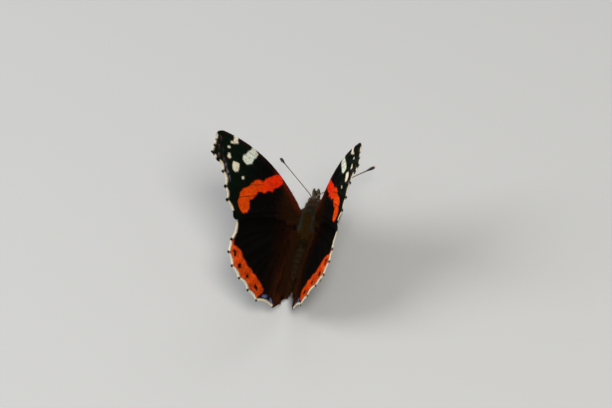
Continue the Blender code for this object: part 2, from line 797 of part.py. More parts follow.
def centre_on_floor(floor, parts):
    """Moves the whole insect so that the origin is under the middle of its box."""
    bpy.context.view_layer.update()
    solids = [obj for obj in parts.objects if obj.type == "MESH"]
    corners = np.array([obj.matrix_world @ v.co for obj in solids for v in obj.data.vertices])
    middle = (corners.min(0) + corners.max(0)) / 2
    floor.location = (-middle[0], -middle[1], 0.0)
    bpy.context.view_layer.update()


def main():
    clear_scene()
    parts = bpy.data.collections.new("red_admiral")
    cutters = bpy.data.collections.new("cutters")
    for collection in (parts, cutters):
        bpy.context.scene.collection.children.link(collection)
    floor = bpy.data.objects.new("floor_frame", None)
    body = bpy.data.objects.new("body_frame", None)
    for empty in (floor, body):
        parts.objects.link(empty)
    body.parent = floor
    body.location = (0, 0, BODY_HEIGHT * MM)
    body.rotation_euler = (BODY_PITCH, 0, 0)
    helpers = build_body(body, parts, cutters)
    build_wings(body, parts, helpers)
    build_head_parts(body, parts, helpers)
    build_legs(body, floor, parts, helpers)
    centre_on_floor(floor, parts)


main()
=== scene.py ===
"""The looks of the red admiral: wings with their markings, skin, hair, scales, eyes, antennae, legs.

Lengths are in millimetres until a mesh is made. The body frame has x to the insect's right, y
forwards and z up its back, with its origin at the forewing roots. A wing's flat coordinates have x
outwards and y forwards, as on a set specimen, in the same frame as the solids.
"""

import math
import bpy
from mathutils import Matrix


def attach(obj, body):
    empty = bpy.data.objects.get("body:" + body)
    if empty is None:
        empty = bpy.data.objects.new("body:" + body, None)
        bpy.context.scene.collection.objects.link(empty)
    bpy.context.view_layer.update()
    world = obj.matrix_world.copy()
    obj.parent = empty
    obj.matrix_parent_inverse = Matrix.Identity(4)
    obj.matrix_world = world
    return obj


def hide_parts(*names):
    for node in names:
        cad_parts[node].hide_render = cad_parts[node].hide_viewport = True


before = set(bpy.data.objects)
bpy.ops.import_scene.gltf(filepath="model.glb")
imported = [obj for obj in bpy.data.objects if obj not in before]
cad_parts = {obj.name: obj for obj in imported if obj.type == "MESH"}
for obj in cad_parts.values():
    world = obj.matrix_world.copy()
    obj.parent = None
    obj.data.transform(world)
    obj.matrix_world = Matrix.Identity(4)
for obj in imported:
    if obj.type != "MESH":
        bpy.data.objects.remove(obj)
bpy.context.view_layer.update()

from types import SimpleNamespace

import bpy
import numpy as np
from mathutils import Matrix, Vector
from mathutils.geometry import delaunay_2d_cdt

MM = 0.001

# Stance, as in the solids
BODY_PITCH = math.radians(12)
BODY_HEIGHT = 7.5
THORAX_MIDDLE = -0.9

# Photo: size of the frame, pixels to the millimetre at the body, and the pixel of the body's origin
PHOTO = (612, 408)
PIXELS_PER_MM = 4.2008
ORIGIN_PIXEL = (309.276, 216.976)
VIEW_RIGHT = (0.9547, 0.2551, -0.1531)
VIEW_UP = (-0.0909, 0.7403, 0.6661)
CAMERA_DISTANCE = 1.2
SENSOR = 36.0

# Wings: raise above level, twist of the chord, sweep back, root in the body frame
WING_BOW = 0.4
WING_REACH = 30.0
FOREWING_POSE = (math.radians(59), math.radians(8), math.radians(-24.5), (2.1, 0.0, 1.3))
HINDWING_POSE = (math.radians(52), math.radians(-3), math.radians(-12), (2.15, -4.2, 0.0))
DOME_HEIGHT = 1.0
DOME_POWER = 5
DOME_FROM_ROOT = (4.0, 12.0)
DOME_FROM_FRONT = (30.0, 46.0)
DOME_TO_BACK = (86.0, 68.0)
DOME_RIM = 21.8
DOME_RIM_GROWTH = 2.2
DOME_RIM_TURNS = (50.0, 64.0)
FLAP_START = 1.0
FLAP_RADIUS = 1.2
FLAP_TURN = math.radians(60)
FLAP_DROP = 0.6
FLAP_FROM = -1.0
FLAP_FULL = -3.5
TROUGH_RADIUS = 1.8
TROUGH_TURN = math.radians(95)
ROOT_TAB = 1.3

MESH_STEP = 0.2
MEMBRANE_HALF = 0.07
EDGE_HALF = 0.02
VEIN_HEIGHT = 0.1
VEIN_HALF_WIDTH = 0.2
PLEAT_DEPTH = 0.1
PLEAT_REACH = 1.0
FRINGE_LENGTH = 0.5
# Scales lie in rows round a point inside the body, and point away from it
SCALE_CENTRE = (-3.0, 0.0)
SCALE_ROW = 0.185
SCALE_SPACING = 0.16
SCALE_LENGTH = 0.31
SCALE_WIDTH = 0.2
SCALE_LIFT = 0.08
SCALE_THICKNESS = 0.009

FOREWING_TEETH = (
    ((26.9, 16.6), 0.12),
    ((28.5, 12.6), 0.15),
    ((26.5, 10.5), 0.9),
    ((25.3, 8.15), 1.1),
    ((24.6, 4.7), 0.85),
    ((24.0, 1.55), 0.6),
    ((21.5, -2.2), 0.0),
)
FOREWING_COSTA = ((-0.2, 0.9), (4.4, 7.5), (12.0, 14.6), (24.4, 17.9))
FOREWING_TIP = ((25.4, 17.85), (26.3, 17.5))
FOREWING_HIND_EDGE = ((20.7, -2.9), (12.0, -1.9), (4.0, -2.0), (0.6, -1.5))
HINDWING_TEETH = (
    ((18.8, -3.3), 0.45),
    ((20.45, -7.7), 0.2),
    ((20.95, -11.1), 0.5),
    ((19.55, -14.3), 0.5),
    ((17.4, -17.0), 0.7),
    ((14.9, -19.45), 0.5),
    ((12.05, -21.35), 0.7),
    ((6.8, -21.4), 0.0),
)
HINDWING_FRONT_EDGE = ((0.2, 1.7), (2.4, 3.1), (8.0, 3.2), (14.2, 0.9), (17.8, -1.7))
HINDWING_INNER_EDGE = (
    (4.9, -20.0), (2.8, -18.7), (0.4, -16.9), (-1.6, -14.1), (-2.5, -11.3), (-2.5, -8.3), (-1.1, -5.8),
    (0.1, -3.9), (0.0, -2.4),
)

FOREWING_VEINS = {
    "costa": ((0.3, 1.3), (11.0, 11.5), (24.0, 17.6)),
    "subcosta": ((0.3, 0.6), (6.6, 7.5), (13.4, 13.1)),
    "radius": ((0.3, 0.3), (6.9, 6.6), (12.9, 10.9)),
    "radius_1": ((9.4, 8.7), (12.9, 11.9), (16.6, 14.6)),
    "radius_5": ((12.9, 10.9), (19.5, 14.7), (26.6, 16.5)),
    "radius_3": ((18.0, 14.0), (20.4, 15.8), (22.8, 17.3)),
    "media_1": ((12.9, 10.9), (20.5, 12.9), (28.2, 12.6)),
    "media_2": ((13.6, 9.0), (20.3, 10.9), (26.2, 10.5)),
    "media_3": ((13.0, 6.9), (19.0, 7.8), (25.0, 8.15)),
    "cell_end": ((12.9, 10.9), (13.6, 9.0), (13.0, 6.9)),
    "cubitus": ((0.3, 0.0), (6.2, 3.3), (13.0, 6.9)),
    "cubitus_1": ((11.2, 5.9), (17.5, 5.5), (24.2, 4.75)),
    "cubitus_2": ((7.6, 4.0), (15.5, 3.1), (23.6, 1.7)),
    "anal_2": ((0.3, -0.5), (9.5, -0.1), (21.1, -2.0)),
}
HINDWING_VEINS = {
    "subcosta": ((0.5, 0.7), (8.5, 1.5), (18.4, -3.1)),
    "radius": ((0.5, 0.3), (8.6, -2.0), (20.1, -7.6)),
    "media_1": ((7.4, -1.7), (13.6, -6.0), (20.6, -10.95)),
    "media_2": ((7.8, -4.2), (13.4, -8.7), (19.25, -14.0)),
    "media_3": ((7.0, -6.6), (12.2, -11.3), (17.15, -16.75)),
    "cell_end": ((7.4, -1.7), (7.8, -4.2), (7.0, -6.6)),
    "cubitus": ((0.5, -0.3), (3.6, -3.7), (7.0, -6.6)),
    "cubitus_1": ((7.0, -6.6), (11.2, -12.6), (14.75, -19.2)),
    "cubitus_2": ((4.7, -4.7), (8.9, -12.7), (12.0, -21.0)),
    "anal_2": ((0.5, -0.9), (3.7, -9.5), (6.9, -21.0)),
    "anal_3": ((0.3, -1.4), (2.4, -9.0), (4.6, -18.5)),
}
# Cream stretches of the fringe, in teeth: 1.5 is half way from the second tooth to the third
FOREWING_LUNULES = (
    (-0.2, 0.16), (0.24, 0.46), (0.6, 0.87), (1.45, 1.72), (2.18, 2.86), (3.16, 3.84), (4.19, 4.82), (5.17, 5.72),
)
HINDWING_LUNULES = (
    (-0.1, 0.85), (1.12, 1.84), (2.16, 2.86), (3.14, 3.87), (4.12, 4.88), (5.12, 5.88), (6.1, 6.95),
)

# Markings in flat wing coordinates, as outlines of bands and large spots
RED_BAND = (
    (6.2, 7.9), (5.9, 6.7), (7.5, 5.4), (8.6, 5.2), (9.1, 4.5), (10.3, 4.6), (11.8, 4.0), (13.5, 4.2),
    (15.2, 2.5), (16.2, 2.1), (16.3, 0.4), (17.0, -0.6), (17.9, -1.1), (18.6, -1.0), (19.7, 0.6),
    (19.8, 1.6), (19.4, 3.2), (18.2, 4.7), (17.0, 5.0), (15.3, 6.2), (13.6, 7.2), (12.1, 6.7), (9.5, 8.1),
    (6.9, 8.5),
)
WHITE_BAR = (
    (15.7, 14.5), (14.6, 14.1), (13.9, 12.8), (14.5, 12.1), (15.3, 11.7), (15.5, 10.9), (15.9, 10.5),
    (17.0, 10.4), (17.8, 10.6), (18.4, 11.3), (18.3, 12.4), (17.5, 12.7), (16.9, 13.6), (16.0, 13.8),
)
COSTAL_SPOT = (
    (21.2, 17.1), (20.4, 17.0), (19.9, 16.5), (20.1, 15.9), (20.0, 15.4), (20.7, 15.1), (21.9, 15.1),
    (22.0, 15.5), (21.3, 15.8), (21.3, 16.5),
)
OVAL_SPOT = (
    (21.1, 10.8), (20.3, 10.7), (19.7, 10.2), (19.6, 9.4), (19.9, 8.8), (20.5, 8.4), (21.2, 8.5),
    (21.6, 9.1), (21.7, 10.0), (21.5, 10.6),
)
ORANGE_BAND = (
    (19.3, -7.2), (19.0, -8.7), (18.4, -9.2), (17.3, -9.8), (16.7, -11.2), (15.8, -12.0), (14.9, -13.3),
    (13.2, -14.7), (11.6, -16.0), (10.5, -17.4), (10.1, -18.3), (10.9, -19.2), (11.7, -20.1), (12.8, -20.6),
    (15.0, -19.3), (17.4, -17.0), (19.5, -14.4), (20.9, -11.3), (20.45, -7.7),
)
# Smaller spots as centre x, y, half lengths and turn in degrees
WHITE_SPOTS = ((22.75, 14.15, 0.4, 0.4, 0), (22.65, 12.05, 0.66, 0.42, 70), (18.42, 7.1, 0.42, 0.34, 0))
MAUVE_STREAKS = (
    (25.3, 15.9, 0.55, 0.26, 65), (25.9, 14.1, 0.65, 0.34, 92), (25.9, 12.1, 0.55, 0.3, 100),
    (23.7, 10.0, 0.8, 0.36, 75), (23.3, 8.4, 0.6, 0.32, 80), (22.6, 6.9, 0.75, 0.3, 78),
    (24.6, 13.3, 0.5, 0.16, 95), (24.4, 11.3, 0.5, 0.16, 80),
)
BLACK_SPOTS = (
    (18.69, -10.77, 0.9, 0.42, 79), (17.14, -13.67, 0.62, 0.42, 85), (15.06, -15.74, 0.56, 0.42, 88),
    (12.32, -17.81, 0.75, 0.45, 54),
)
MARGIN_ARCS = (
    (20.3, -9.3, 0.45, 0.18, 80), (19.5, -12.2, 0.5, 0.22, 75), (17.85, -14.9, 0.6, 0.26, 60),
    (15.6, -17.1, 0.72, 0.28, 48), (13.3, -19.1, 0.75, 0.3, 35),
)
BLUE_SPOTS = ((9.5, -19.2, 0.95, 0.36, -12), (7.45, -19.7, 0.6, 0.34, 75))

# Body sections: y, centre z, half width, rise above and drop below the centre, coat included
BODY_SECTIONS = (
    (-17.2, -0.80, 0.22, 0.22, 0.22),
    (-16.5, -0.80, 0.62, 0.60, 0.60),
    (-15.2, -0.85, 1.00, 0.95, 0.98),
    (-13.2, -0.95, 1.32, 1.28, 1.32),
    (-10.8, -1.05, 1.55, 1.50, 1.58),
    (-8.6, -1.12, 1.56, 1.50, 1.60),
    (-6.8, -1.18, 1.50, 1.42, 1.50),
    (-5.5, -1.20, 1.30, 1.12, 1.20),
    (-4.4, -1.20, 1.80, 1.70, 1.70),
    (-3.2, -1.15, 2.15, 2.25, 2.20),
    (-1.0, -1.10, 2.45, 2.80, 2.70),
    (0.8, -1.10, 2.40, 2.85, 2.70),
    (2.2, -1.10, 2.05, 2.40, 2.30),
    (3.4, -1.10, 1.45, 1.60, 1.60),
    (3.7, -1.05, 1.10, 1.25, 1.25),
    (4.3, -1.00, 0.98, 1.18, 1.25),
    (5.1, -0.95, 0.92, 1.15, 1.30),
    (5.7, -1.05, 0.75, 0.90, 1.10),
    (6.1, -1.15, 0.40, 0.45, 0.60),
)
TAIL, WAIST, NECK, FACE = -17.2, -5.35, 3.55, 6.1
# Coat depth at the tail, abdomen, waist, thorax, neck and face
COAT_DEPTH = (
    (-17.2, 0.05), (-15.5, 0.12), (-7.0, 0.14), (-5.0, 0.4), (-1.0, 0.45), (2.0, 0.45), (3.6, 0.25), (6.1, 0.12),
)
ABDOMEN_LEAN = 0.7
SEGMENT_EDGES = (-16.4, -15.2, -13.9, -12.5, -11.0, -9.4, -7.8, -6.6)
SEGMENT_GROOVE = 0.09

EYE_CENTRE = (1.0, 4.95, -1.0)
EYE_SIZE = (0.68, 0.78, 0.85)
PALP_PATH = ((0.5, 5.3, -1.5), (0.57, 6.1, -1.45), (0.6, 6.8, -1.0), (0.58, 7.3, -0.55), (0.56, 7.6, -0.25))
PALP_RADII = (0.22, 0.28, 0.3, 0.22, 0.07)
COIL_CENTRE = (0.0, 5.9, -2.85)
COIL_RADIUS = 0.93
COIL_TURNS = 2.6
ANTENNA_PATH = (
    (0.42, 4.9, -0.5), (0.55, 5.25, 0.2), (1.0, 5.85, 0.42), (4.6, 9.5, -0.45), (8.4, 13.4, -1.75),
    (10.3, 15.4, -2.65), (11.1, 16.3, -3.07), (11.75, 16.97, -3.38), (11.95, 17.2, -3.5),
)
ANTENNA_RINGS = 38
LEGS = {
    "midleg": {
        "coxa": ((1.0, -0.6, -2.6), (1.5, -0.8, -4.3)),
        "knee": (4.3, 2.4, 4.8), "ankle": (4.5, 4.8, 0.9), "toe": (4.6, 8.3),
    },
    "hindleg": {
        "coxa": ((1.0, -3.0, -2.0), (1.5, -3.3, -3.9)),
        "knee": (3.9, -6.0, 5.0), "ankle": (4.6, -9.2, 0.9), "toe": (5.1, -13.3),
    },
}
FORELEG_PATH = ((0.8, 2.0, -2.4), (0.95, 2.3, -3.6), (1.35, 3.9, -4.0), (1.25, 4.9, -3.1), (1.2, 5.35, -2.75))


def srgb(*levels):
    """Linear colour from levels of 0 to 255."""
    c = np.array(levels, float) / 255
    return np.where(c <= 0.04045, c / 12.92, ((c + 0.055) / 1.055) ** 2.4)


def ramp(value, start, end):
    """0 before start, 1 after end, smooth in between. The two may be in either order."""
    t = np.clip((value - start) / (end - start), 0, 1)
    return t * t * (3 - 2 * t)


def mix(a, b, share):
    share = np.asarray(share)[..., None]
    return a * (1 - share) + b * share


def unit(vectors):
    return vectors / np.maximum(np.linalg.norm(vectors, axis=-1, keepdims=True), 1e-9)


def noise(x, y, size, seed):
    """Smooth noise from 0 to 1 with features of about the given size."""
    grid = np.random.default_rng(seed).random((64, 64))
    u, v = x / size + 97.3, y / size + 41.7
    i, j = np.floor(u).astype(int), np.floor(v).astype(int)
    s, t = u - i, v - j
    s, t = s * s * (3 - 2 * s), t * t * (3 - 2 * t)
    low = grid[i % 64, j % 64] * (1 - s) + grid[(i + 1) % 64, j % 64] * s
    high = grid[i % 64, (j + 1) % 64] * (1 - s) + grid[(i + 1) % 64, (j + 1) % 64] * s
    return low * (1 - t) + high * t


def body_origin():
    """y of the forewing roots in the row frame, from the thorax node with its pitch undone."""
    thorax = np.array([v.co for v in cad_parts["thorax"].data.vertices]) / MM
    along = thorax[:, 1] * math.cos(BODY_PITCH) + (thorax[:, 2] - BODY_HEIGHT) * math.sin(BODY_PITCH)
    return ((along.max() + along.min()) / 2 - THORAX_MIDDLE) / math.cos(BODY_PITCH)


ORIGIN_Y = body_origin()


def floor_points(points):
    """Body frame to the frame that stands on the floor, with its origin still at the forewing roots."""
    x, y, z = np.moveaxis(np.asarray(points, float), -1, 0)
    c, s = math.cos(BODY_PITCH), math.sin(BODY_PITCH)
    return np.stack([x, y * c - z * s, y * s + z * c + BODY_HEIGHT], -1)


def row_points(points, on_floor=False):
    """Millimetres in the body frame, or in the floor frame, to metres in the row frame."""
    points = np.asarray(points, float) if on_floor else floor_points(points)
    return (points + (0.0, ORIGIN_Y, 0.0)) * MM


# Meshes from arrays

def new_mesh(name, points, faces, tint=None, uv=None, tone=None):
    """A mesh object from points in metres and arrays of triangles or quads, with a colour to each point."""
    mesh = bpy.data.meshes.new(name)
    faces = [np.asarray(f) for f in faces if len(f)]
    corners = np.concatenate([f.ravel() for f in faces]).astype(np.int32)
    sizes = np.concatenate([np.full(len(f), f.shape[1]) for f in faces])
    mesh.vertices.add(len(points))
    mesh.vertices.foreach_set("co", np.asarray(points, np.float32).ravel())
    mesh.loops.add(len(corners))
    mesh.loops.foreach_set("vertex_index", corners)
    mesh.polygons.add(len(sizes))
    mesh.polygons.foreach_set("loop_start", np.concatenate([[0], np.cumsum(sizes)[:-1]]).astype(np.int32))
    mesh.update(calc_edges=True)
    mesh.validate()
    mesh.shade_smooth()
    if uv is not None:
        layer = mesh.uv_layers.new(name="OFBake")
        layer.data.foreach_set("uv", np.asarray(uv, np.float32)[corners].ravel())
    if tint is not None:
        colours = np.ones((len(points), 4), np.float32)
        colours[:, :3] = tint
        mesh.color_attributes.new("tint", "FLOAT_COLOR", "POINT").data.foreach_set("color", colours.ravel())
    if tone is not None:
        mesh.attributes.new("tone", "FLOAT", "POINT").data.foreach_set("value", np.asarray(tone, np.float32))
    obj = bpy.data.objects.new(name, mesh)
    bpy.context.scene.collection.objects.link(obj)
    return obj


def mirrored(points, faces):
    return np.asarray(points) * (-1, 1, 1), [np.asarray(f)[:, ::-1] for f in faces]


def joined(pieces):
    """One set of points, faces, tints and UVs from several (points, faces, tint, uv)."""
    points, faces, tints, uvs, start = [], [], [], [], 0
    for p, f, t, u in pieces:
        points.append(p)
        faces += [np.asarray(g) + start for g in f]
        tints.append(np.broadcast_to(t, (len(p), 3)))
        uvs.append(u if u is not None else np.zeros((len(p), 2)))
        start += len(p)
    return np.vstack(points), faces, np.vstack(tints), np.vstack(uvs)


def tube(path, radii, sides, squash=1.0):
    """Points and faces of a closed tube along a path, with an oval section where squash isn't 1."""
    path = np.asarray(path, float)
    radii = np.asarray(radii, float)
    runs = unit(np.gradient(path, axis=0))
    side = np.cross(runs[0], (0, 0, 1))
    side = unit(side) if np.linalg.norm(side) > 0.1 else np.array([1.0, 0, 0])
    angles = 2 * np.pi * np.arange(sides) / sides
    rings = []
    for point, run, radius in zip(path, runs, radii):
        side = unit(side - run * side.dot(run))
        up = np.cross(run, side)
        spread = np.cos(angles)[:, None] * side + np.sin(angles)[:, None] * up * squash
        rings.append(point + radius * spread)
    points = np.concatenate([np.vstack(rings), path[:1], path[-1:]])
    i = np.arange(sides)
    j = (i + 1) % sides
    quads = [np.column_stack([i, j, j + sides, i + sides]) + k * sides for k in range(len(path) - 1)]
    last = (len(path) - 1) * sides
    caps = np.vstack([
        np.column_stack([j, i, np.full(sides, len(points) - 2)]),
        np.column_stack([i + last, j + last, np.full(sides, len(points) - 1)]),
    ])
    return points, [np.vstack(quads), caps]


def along_path(points, values, count, softness=0.35):
    """A smooth path through the points, with the values carried along, at evenly spaced places."""
    points = np.asarray(points, float)
    reach = np.concatenate([[0], np.cumsum(np.linalg.norm(np.diff(points, axis=0), axis=1))])
    at = np.linspace(0, reach[-1], count)
    fine = np.linspace(0, reach[-1], 400)
    run = np.column_stack([np.interp(fine, reach, points[:, k]) for k in range(3)])
    width = max(1, int(400 * softness / reach[-1]))
    kernel = np.hanning(2 * width + 3)[1:-1]
    kernel /= kernel.sum()
    padded = np.vstack([np.repeat(run[:1], width, 0), run, np.repeat(run[-1:], width, 0)])
    soft = np.column_stack([np.convolve(padded[:, k], kernel, "valid") for k in range(3)])
    soft[0], soft[-1] = run[0], run[-1]
    path = np.column_stack([np.interp(at, fine, soft[:, k]) for k in range(3)])
    return path, np.interp(at, reach, values), at / reach[-1]


def locks(root, lie, up, length, width, lift, tip_lift, tint, tip_tint, uv, rings=3, flat=0.45):
    """Tapered three-sided locks of hair or scales that leave the surface at lift and end at tip_lift.

    Each lock's UVs are a patch PATCH across at its root's place on the unwrapped skin.
    """
    count = len(root)
    side = unit(np.cross(lie, up))
    per = 3 * rings + 1
    points = np.zeros((count, per, 3))
    tints = np.zeros((count, per, 3))
    uvs = np.zeros((count, per, 2))
    place = np.array(root, float)
    length, width = np.broadcast_to(length, count), np.broadcast_to(width, count)
    for k in range(rings + 1):
        share = k / rings
        angle = (lift + (tip_lift - lift) * share) * np.ones(count)
        along = lie * np.cos(angle)[:, None] + up * np.sin(angle)[:, None]
        if k:
            place = place + along * (length / rings)[:, None]
        thick = np.cross(side, along)
        colour = mix(tint, tip_tint, np.full(count, share))
        radius = (width * (1 - share) ** 0.6)[:, None]
        for c in range(1 if k == rings else 3):
            turn = math.pi / 2 + 2 * math.pi * c / 3
            offset = side * math.cos(turn) + thick * math.sin(turn) * flat
            index = 3 * k + c
            points[:, index] = place + (0 if k == rings else offset * radius)
            tints[:, index] = colour
            uvs[:, index] = uv + PATCH * np.array([c / 2, share])
    one = [(0, 2, 1)]
    for k in range(rings - 1):
        for c in range(3):
            a, b = 3 * k + c, 3 * k + (c + 1) % 3
            one += [(a, b, b + 3), (a, b + 3, a + 3)]
    tip = per - 1
    one += [(tip - 3 + c, tip - 3 + (c + 1) % 3, tip) for c in range(3)]
    faces = (np.array(one)[None] + per * np.arange(count)[:, None, None]).reshape(-1, 3)
    return points.reshape(-1, 3), [faces], tints.reshape(-1, 3), uvs.reshape(-1, 2)


PATCH = 0.003


def turned_out(points, faces):
    """The faces, reversed if they look inwards."""
    tri = np.asarray(faces[0])[:, :3]
    p = points[tri]
    volume = np.einsum("ij,ij->i", p[:, 0], np.cross(p[:, 1], p[:, 2])).sum()
    return faces if volume > 0 else [np.asarray(f)[:, ::-1] for f in faces]


# Materials

class Look:
    """A Principled material and short calls for the nodes that feed it."""

    def __init__(self, name, roughness=0.6, specular=0.4, sheen=0.0, coat=0.0, tint=None):
        self.material = bpy.data.materials.new(name)
        self.material.use_nodes = True
        self.tree = self.material.node_tree
        self.shader = self.tree.nodes["Principled BSDF"]
        values = {"Roughness": roughness, "Specular IOR Level": specular, "Sheen Weight": sheen,
                  "Sheen Roughness": 0.4, "Coat Weight": coat, "Coat Roughness": 0.15}
        for key, value in values.items():
            self.shader.inputs[key].default_value = value
        if tint is not None:
            self.shader.inputs["Base Color"].default_value = (*tint, 1)

    def node(self, kind, **settings):
        made = self.tree.nodes.new(kind)
        for key, value in settings.items():
            if key in made.inputs:
                made.inputs[key].default_value = value
            else:
                setattr(made, key, value)
        return made

    def link(self, source, target):
        self.tree.links.new(source, target)

    def attribute(self, name):
        return self.node("ShaderNodeAttribute", attribute_name=name)

    def noise(self, scale, detail=3.0):
        """Noise in object space, which is the row frame in metres."""
        place = self.node("ShaderNodeTexCoord")
        made = self.node("ShaderNodeTexNoise")
        made.inputs["Scale"].default_value = scale
        made.inputs["Detail"].default_value = detail
        self.link(place.outputs["Object"], made.inputs["Vector"])
        return made.outputs["Fac"]

    def spread(self, source, low, high):
        """A value of 0 to 1 spread over low to high."""
        made = self.node("ShaderNodeMapRange")
        made.inputs["To Min"].default_value = low
        made.inputs["To Max"].default_value = high
        self.link(source, made.inputs["Value"])
        return made.outputs["Result"]

    def times(self, colour, value):
        made = self.node("ShaderNodeVectorMath", operation="SCALE")
        self.link(colour, made.inputs[0])
        self.link(value, made.inputs["Scale"])
        return made.outputs["Vector"]

    def bump(self, height, strength, distance):
        made = self.node("ShaderNodeBump")
        made.inputs["Strength"].default_value = strength
        made.inputs["Distance"].default_value = distance
        self.link(height, made.inputs["Height"])
        self.link(made.outputs["Normal"], self.shader.inputs["Normal"])


def tinted_look(name, scale, low, high, **shader):
    """A look that takes its colour from the mesh's tint, broken up by fine noise."""
    look = Look(name, **shader)
    grain = look.noise(scale)
    colour = look.times(look.attribute("tint").outputs["Color"], look.spread(grain, low, high))
    look.link(colour, look.shader.inputs["Base Color"])
    look.link(look.spread(grain, shader["roughness"] - 0.1, shader["roughness"] + 0.1), look.shader.inputs["Roughness"])
    return look, grain


def wing_look():
    """The membrane, in the colours of the scales that lie on it."""
    look, grain = tinted_look("wing_membrane", 9000, 0.72, 1.28, roughness=0.75, specular=0.03)
    look.bump(grain, 0.3, 0.00003)
    return look.material


def scale_look():
    look, grain = tinted_look("wing_scales", 12000, 0.85, 1.15, roughness=0.65, specular=0.05)
    look.bump(grain, 0.2, 0.00002)
    return look.material


def coat_look():
    look, grain = tinted_look("hair", 6000, 0.7, 1.3, roughness=0.6, specular=0.06)
    look.bump(grain, 0.3, 0.00004)
    return look.material


def horn_look(name, roughness, coat):
    look, grain = tinted_look(name, 4000, 0.8, 1.2, roughness=roughness, specular=0.5, coat=coat)
    look.bump(grain, 0.35, 0.00005)
    return look.material


def eye_look():
    """A dark eye with a fine net of facets."""
    look = Look("eye_facets", roughness=0.25, specular=0.35, coat=0.35)
    place = look.node("ShaderNodeTexCoord")
    cells = look.node("ShaderNodeTexVoronoi", feature="F1")
    cells.inputs["Scale"].default_value = 24000
    cells.inputs["Randomness"].default_value = 0.25
    look.link(place.outputs["Object"], cells.inputs["Vector"])
    look.bump(look.spread(cells.outputs["Distance"], 1.0, 0.0), 0.4, 0.00002)
    colour = look.times(look.attribute("tint").outputs["Color"], look.spread(look.noise(1500), 0.7, 1.3))
    look.link(colour, look.shader.inputs["Base Color"])
    return look.material


# Wing surfaces

def bezier(controls, count):
    a, b, c, d = (np.array(p, float) for p in controls)
    t = np.linspace(0, 1, count)[:, None]
    return (1 - t) ** 3 * a + 3 * t * (1 - t) ** 2 * b + 3 * t**2 * (1 - t) * c + t**3 * d


def smooth_run(points, per_span):
    points = np.array(points, float)
    padded = np.vstack([2 * points[0] - points[1], points, 2 * points[-1] - points[-2]])
    run = []
    for k in range(len(points) - 1):
        p0, p1, p2, p3 = padded[k : k + 4]
        for t in np.arange(per_span) / per_span:
            run.append(0.5 * (2 * p1 + (p2 - p0) * t + (2 * p0 - 5 * p1 + 4 * p2 - p3) * t**2
                              + (3 * p1 - p0 - 3 * p2 + p3) * t**3))
    return np.array([*run, points[-1]])


def scalloped(teeth, steps=24):
    """The outer margin from tooth to tooth, as x, y and its place counted in teeth."""
    run = []
    for k, ((start, dip), (end, _)) in enumerate(zip(teeth, teeth[1:])):
        start, end = np.array(start), np.array(end)
        chord = end - start
        inward = np.array([chord[1], -chord[0]]) / np.linalg.norm(chord)
        for t in np.arange(steps) / steps:
            run.append([*(start + t * chord + inward * dip * math.sin(math.pi * t) ** 0.8), k + t])
    return np.array([*run, [*teeth[-1][0], len(teeth) - 1]])


def outward(run):
    """Unit normals of a margin that runs clockwise, pointing away from the wing."""
    slopes = np.gradient(run, axis=0)
    slopes = np.column_stack([np.convolve(np.pad(slopes[:, k], 3, "edge"), np.ones(7) / 7, "valid") for k in (0, 1)])
    return unit(np.column_stack([-slopes[:, 1], slopes[:, 0]]))


def spaced(run, step):
    reach = np.concatenate([[0], np.cumsum(np.linalg.norm(np.diff(run[:, :2], axis=0), axis=1))])
    at = np.linspace(0, reach[-1], max(2, int(reach[-1] / step)))
    return np.column_stack([np.interp(at, reach, run[:, k]) for k in range(run.shape[1])])


def raised(across, along, pose, dome=0.0):
    raise_angle, twist, _, root = pose
    c, s = math.cos(raise_angle), math.sin(raise_angle)
    bow = WING_BOW * np.sin(np.pi * np.clip(across / WING_REACH, 0, 1)) + dome
    lift = along * math.sin(twist) + bow * math.cos(twist)
    return np.stack([root[0] + across * c - lift * s,
                     root[1] + along * math.cos(twist) - bow * math.sin(twist),
                     root[2] + across * s + lift * c], -1)


def swept(flat, angle):
    c, s = math.cos(angle), math.sin(angle)
    return flat[..., 0] * c - flat[..., 1] * s, flat[..., 0] * s + flat[..., 1] * c


def on_forewing(flat):
    return raised(*swept(flat, FOREWING_POSE[2]), FOREWING_POSE)


def level_hindwing(across, along):
    """The hindwing without its bend: domed at the rear, with the outer margin flared."""
    reach = np.hypot(across, along)
    turn = np.degrees(np.arctan2(-along, across))
    rim = DOME_RIM + DOME_RIM_GROWTH * ramp(turn, *DOME_RIM_TURNS)
    share = ramp(turn, *DOME_FROM_FRONT) * ramp(turn, *DOME_TO_BACK) * ramp(reach, *DOME_FROM_ROOT)
    return raised(across, along, HINDWING_POSE, DOME_HEIGHT * share * (1 - (reach / rim) ** DOME_POWER))


def flap_offset(inward):
    """From the start of the bend to a point of the flap: an arc down, a straight drop, an arc inwards."""
    start = HINDWING_POSE[0]
    turn = np.minimum(inward / FLAP_RADIUS, FLAP_TURN)
    steepest = start + turn
    past = inward - FLAP_RADIUS * turn
    drop = np.minimum(past, FLAP_DROP)
    back = np.minimum((past - drop) / TROUGH_RADIUS, TROUGH_TURN)
    angle = steepest - back
    rest = past - drop - back * TROUGH_RADIUS
    across = FLAP_RADIUS * (np.sin(steepest) - math.sin(start)) + drop * np.cos(steepest)
    across += TROUGH_RADIUS * (np.sin(steepest) - np.sin(angle)) + rest * np.cos(angle)
    down = FLAP_RADIUS * (math.cos(start) - np.cos(steepest)) + drop * np.sin(steepest)
    down += TROUGH_RADIUS * (np.cos(angle) - np.cos(steepest)) + rest * np.sin(angle)
    return -np.stack([across, np.zeros_like(across), down], -1)


def on_hindwing(flat):
    """The hindwing, whose inner flap bends down beside the abdomen and in under it."""
    across, along = swept(flat, HINDWING_POSE[2])
    level = level_hindwing(across, along)
    inward = np.maximum(FLAP_START - across, 0)
    bent = level_hindwing(np.full_like(across, FLAP_START), along) + flap_offset(inward)
    bent = mix(level, bent, ramp(along, FLAP_FROM, FLAP_FULL))
    return np.where((inward > 0)[..., None], bent, level)


